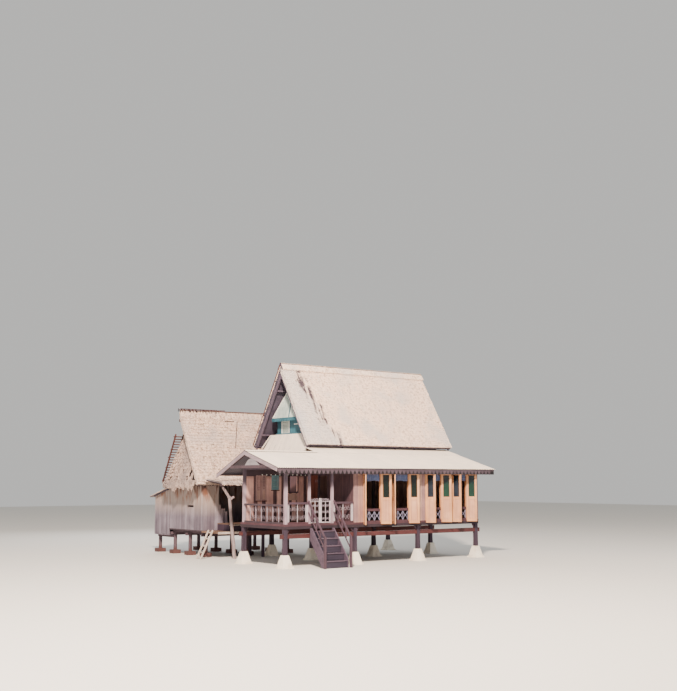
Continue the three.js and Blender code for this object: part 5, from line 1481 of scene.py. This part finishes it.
END_LOW, END_TOP, END_LEAN = 2.73, 4.75, 0.15
END_FRONT, END_BACK = (1.424, 0.314), (1.23, 0.04)
END_ROWS = 15
ROW_HIGH = (END_TOP - END_LOW) / END_ROWS
# Each gap is its middle in Y and Z and half its width
END_GAPS = ((-1.02, 3.32, 0.09), (-0.93, 3.12, 0.07), (-0.72, 3.02, 0.06), (0.1, 2.98, 0.05),
            (-0.35, 3.3, 0.05), (-1.2, 2.96, 0.07), (0.55, 2.95, 0.06))


def end_reach(z, ends):
    """How far the panel reaches from its middle at this height."""
    return ends[0] + (ends[1] - ends[0]) * (z - END_LOW) / (END_TOP - END_LOW)


def end_x(z):
    return -0.053 + END_LEAN * (z - END_LOW)


def end_point(x, y, z):
    return (x, ANNEX_RIDGE_Y + y, z)


def end_leaf(work, a, b, tip, top, lift):
    """One leaf of the panel from its tip up to its hidden top end."""
    ya, yb = (max(-end_reach(top, END_FRONT), min(end_reach(top, END_BACK), v)) for v in (a, b))
    if yb - ya < 0.004:
        return
    low, high = end_x(tip) + lift, end_x(top)
    work.hexa([end_point(low, a, tip), end_point(low, b, tip),
               end_point(low + 0.03, b, tip), end_point(low + 0.03, a, tip),
               end_point(high + 0.035, ya, top), end_point(high + 0.035, yb, top),
               end_point(high + 0.06, yb, top), end_point(high + 0.06, ya, top)])


def row_heights():
    """The tip and the hidden top of the leaf in each row."""
    for row in range(END_ROWS):
        tip = END_LOW + row * ROW_HIGH
        yield tip, min(tip + ROW_HIGH * 1.5, END_TOP - 0.005)


work = Work()
for tip, top in row_heights():
    for a, b in leaf_edges(-end_reach(tip, END_FRONT), end_reach(tip, END_BACK)):
        if any(abs(a - gap_y) < half and abs(tip + ROW_HIGH / 2 - gap_z) < half + 0.07
               for gap_y, gap_z, half in END_GAPS):
            continue
        end_leaf(work, a, b, tip - chance.uniform(0.0, 0.07), top, chance.uniform(-0.012, 0.012))

# Torn tips along the panel's lower edge, longer in swells
for i in range(110):
    y = chance.uniform(-END_FRONT[0], END_BACK[0] - 0.08)
    swell = 0.5 + 0.5 * math.sin(y * 7.0) * math.sin(y * 2.3 + 1.0)
    reach = chance.uniform(0.03, 0.1) + 0.2 * swell * chance.random()
    wide = chance.uniform(0.05, 0.12)
    tip_y = y + wobble(0.04)
    tip_end = tip_y + wide * 0.3
    x, z, root = end_x(END_LOW), END_LOW - reach, END_LOW + 0.14
    work.hexa([end_point(x - 0.02, tip_y, z), end_point(x - 0.02, tip_end, z),
               end_point(x - 0.005, tip_end, z), end_point(x - 0.005, tip_y, z),
               end_point(x + 0.005, y, root), end_point(x + 0.005, y + wide, root),
               end_point(x + 0.05, y + wide, root), end_point(x + 0.05, y, root)])

# A proud strip of newer leaf up the back edge
for tip, top in row_heights():
    last = end_reach(tip, END_BACK)
    for a, b in leaf_edges(max(last - 0.46, last * 0.45), last):
        end_leaf(work, a, b, tip - chance.uniform(0.0, 0.09), top, chance.uniform(-0.075, -0.045))

# A slab painted dark as shade shows through the gaps, and the battens carry the leaf
backing = ((-END_FRONT[0] + 0.02, END_LOW + 0.01), (END_BACK[0] - 0.02, END_LOW + 0.01),
           (END_BACK[1] + 0.06, END_TOP - 0.2), (-END_FRONT[1] - 0.04, END_TOP - 0.2))
work.slab([end_point(end_x(z) + 0.064, y, z) for y, z in backing], (0.012, 0, 0), 2)
for row in range(0, END_ROWS, 3):
    z = END_LOW + (row + 0.5) * ROW_HIGH
    ends = (-end_reach(z + 0.03, END_FRONT) + 0.01, end_reach(z + 0.03, END_BACK) - 0.01)
    work.pole([end_point(end_x(z) + 0.09, y, z) for y in ends], 0.014, 7, 1, 0.05)
finishes = [panel_thatch, batten_wood, hole_shade]
work.make("annex_gable_leaf", finishes, replaces=["annex_gable_thatch"], slot="thatch")

# Leaf folded over the annex ridge, with sticks tied along it

work = Work()
for side in (-1, 1):
    for x, b in leaf_edges(0.0 if side < 0 else 0.45, ANNEX_RIGHT):
        reach, drop = chance.uniform(0.12, 0.19), wobble(0.008)
        near, far = ANNEX_RIDGE_Y - side * 0.006, ANNEX_RIDGE_Y + side * reach
        high, low = ANNEX_RIDGE_Z + 0.022 + drop, ANNEX_RIDGE_Z - reach * ANNEX_FALL + 0.03
        work.strip(x, b, (near, high - 0.03), (far, low - 0.03), (near, high), (far, low), 1)
for y, z, x0, x1 in ((7.55, 5.72, -0.03, 4.96), (7.66, 5.715, 0.1, 5.02), (7.6, 5.76, 0.05, 2.1)):
    path = [(x0 + (x1 - x0) * i / 7, y + wobble(0.012), z + wobble(0.006)) for i in range(8)]
    work.pole(path, 0.016, 7, 0, 0.1)
for i in range(16):
    x = 0.02 + i * 0.11 + wobble(0.05)
    path = [(x, 7.5, 5.64), (x + wobble(0.06), 7.6, 5.77), (x + wobble(0.06), 7.7, 5.66)]
    work.pole(path, 0.014, 6, 2, 0.1)
work.pole([(2.57, 7.40, 5.355), (2.35, 7.09, 4.79), (2.13, 6.775, 4.22)], 0.012, 6, 2, 0.1)
work.pole([(1.96, 7.385, 5.325), (2.4, 7.385, 5.325)], 0.014, 6, 2, 0.1)
work.make("annex_ridge_sticks", [batten_wood, annex_thatch, sill_shade_wood], slot="batten_wood")


# Forked post and log ladder of peeled poles, in millimetres

def log(work, start, end, parts, sway, radii, sides, rough):
    """A log that wavers and tapers from start to end."""
    start, end = Vector(start), Vector(end)
    path = []
    for i in range(parts + 1):
        bend = Vector((wobble(sway), wobble(sway), 0)) if 0 < i < parts else Vector((0, 0, 0))
        path.append((start.lerp(end, i / parts) + bend) / 1000)
    first, last = radii
    work.pole(path, [(first + (last - first) * i / parts) / 1000 for i in range(parts + 1)], sides, 0, rough)


def cut_at_ground(work):
    """Flattens what would go below the ground, as the poles stand on it."""
    work.points = [(x, y, max(z, 0.0)) for x, y, z in work.points]


work = Work()
for start, end, parts, radii in (((945, 4790, 0), (672, 4770, 2330), 9, (68, 60)),
                                 ((690, 4772, 2240), (330, 4670, 2664), 6, (55, 44)),
                                 ((680, 4770, 2190), (860, 4750, 2300), 3, (50, 45))):
    log(work, start, end, parts, 7, radii, 12, 0.06)
cut_at_ground(work)
work.make("forked_trunk", [fork_wood], replaces=["forked_post"], slot="pale_log")

LADDER_X, LADDER_Z, LADDER_RUN, LADDER_RISE = -257, -60, 539, 1110
work = Work()
foot_x = LADDER_X - LADDER_RUN * LADDER_Z / LADDER_RISE + 8
for y in (5300, 5600):
    log(work, (foot_x, y, 0), (281, y, 1048), 7, 4, (39, 35), 12, 0.05)
for share in (0.27, 0.48, 0.72, 0.92):
    x, z = LADDER_X + LADDER_RUN * share, LADDER_Z + LADDER_RISE * share
    log(work, (x, 5262, z), (x, 5638, z), 3, 3, (28, 28), 10, 0.05)
cut_at_ground(work)
work.make("ladder_logs", [log_wood], replaces=["log_ladder"], slot="pale_log")

# Floor frame: a sill painted dark as shade under a red-stained board, and joists

SILLS = (((-0.09, -0.09), (8.94, 0.11)), ((-0.09, 0.1105), (0.11, 2.71)), ((0.1105, 2.51), (2.8595, 2.71)),
         ((2.86, 0.1105), (3.06, 5.39)), ((8.74, 0.1105), (8.94, 5.39)), ((3.0605, 5.19), (8.7395, 5.39)))
SILL_LOW, JOIST_TOP = 1.28, 1.419
MIDDLE_SILL = (2.51, 2.71)
work = Work()
for (x0, y0), (x1, y1) in SILLS:
    work.board((x0 + 0.004, y0 + 0.004, SILL_LOW), (x1 - 0.004, y1 - 0.004, 1.378))
    work.board((x0, y0, 1.3785), (x1, y1, FLOOR), 1)
work.board((3.0605, MIDDLE_SILL[0], SILL_LOW), (8.7395, MIDDLE_SILL[1], JOIST_TOP))
front_run = (0.1105, MIDDLE_SILL[0] - 0.0005)
back_run = (MIDDLE_SILL[1] + 0.0005, 5.1895)
for left, right, count, spans in ((0.11, 2.86, 3, (front_run,)), (3.06, 8.74, 7, (front_run, back_run))):
    for i in range(count):
        x = left + (i + 1) * (right - left) / (count + 1)
        for y0, y1 in spans:
            work.board((x - 0.04, y0, SILL_LOW), (x + 0.04, y1, JOIST_TOP))
finishes = [sill_shade_wood, sill_wood]
work.make("floor_frame_timber", finishes, replaces=["floor_frame"], slot="red_girder_wood", bevel=0.004)

# Materials of the frame's own members

KEPT = {
    "verandah_frame": post_wood, "hall_frame": beam_wood, "zinc_roof_frame": beam_wood,
    "thatch_frame": rafter_wood, "annex_roof_poles": batten_wood, "annex_stilts": pole_wood,
}
for node, finish in KEPT.items():
    for slot in bpy.data.objects[node].material_slots:
        slot.material = finish

# Floor and light

studio_floor, floor_tree = start_finish("pale_studio_floor")
floor_skin = floor_tree.nodes["Principled BSDF"].inputs
floor_skin["Base Color"].default_value = hex_colour("#D9D6D0")
floor_skin["Roughness"].default_value = 0.9

FLOOR_REACH = 90.0
ground_mesh = bpy.data.meshes.new("floor")
ground_mesh.from_pydata([(x * FLOOR_REACH, y * FLOOR_REACH, 0) for x, y in SQUARE], [], [(0, 1, 2, 3)])
ground_mesh.materials.append(studio_floor)
ground = bpy.data.objects.new("floor", ground_mesh)
bpy.context.scene.collection.objects.link(ground)


def soft_light(name, place, aim, size, power, colour):
    lamp = bpy.data.lights.new(name, "AREA")
    lamp.shape = "SQUARE"
    lamp.size = size
    lamp.energy = power
    lamp.color = hex_colour(colour)[:3]
    holder = bpy.data.objects.new(name, lamp)
    holder.location = place
    holder.rotation_euler = (Vector(aim) - Vector(place)).to_track_quat("-Z", "Y").to_euler()
    bpy.context.scene.collection.objects.link(holder)


MIDDLE = (4.0, 3.0, 3.0)
soft_light("key_from_front", (-15.0, -20.0, 25.0), MIDDLE, 2.5, 39500, "#FFEAD6")
soft_light("fill_from_left", (-20.0, -16.0, 6.0), MIDDLE, 12.0, 1500, "#F4F0EC")
soft_light("fill_from_right", (20.0, -16.0, 9.0), MIDDLE, 12.0, 900, "#E4ECF8")
soft_light("rim_from_back", (8.0, 24.0, 14.0), MIDDLE, 10.0, 2500, "#EEF2F8")

world = bpy.data.worlds.new("pale_sky")
world.use_nodes = True
sky = world.node_tree.nodes["Background"]
sky.inputs["Color"].default_value = hex_colour("#F2F1EE")
sky.inputs["Strength"].default_value = 0.7
bpy.context.scene.world = world
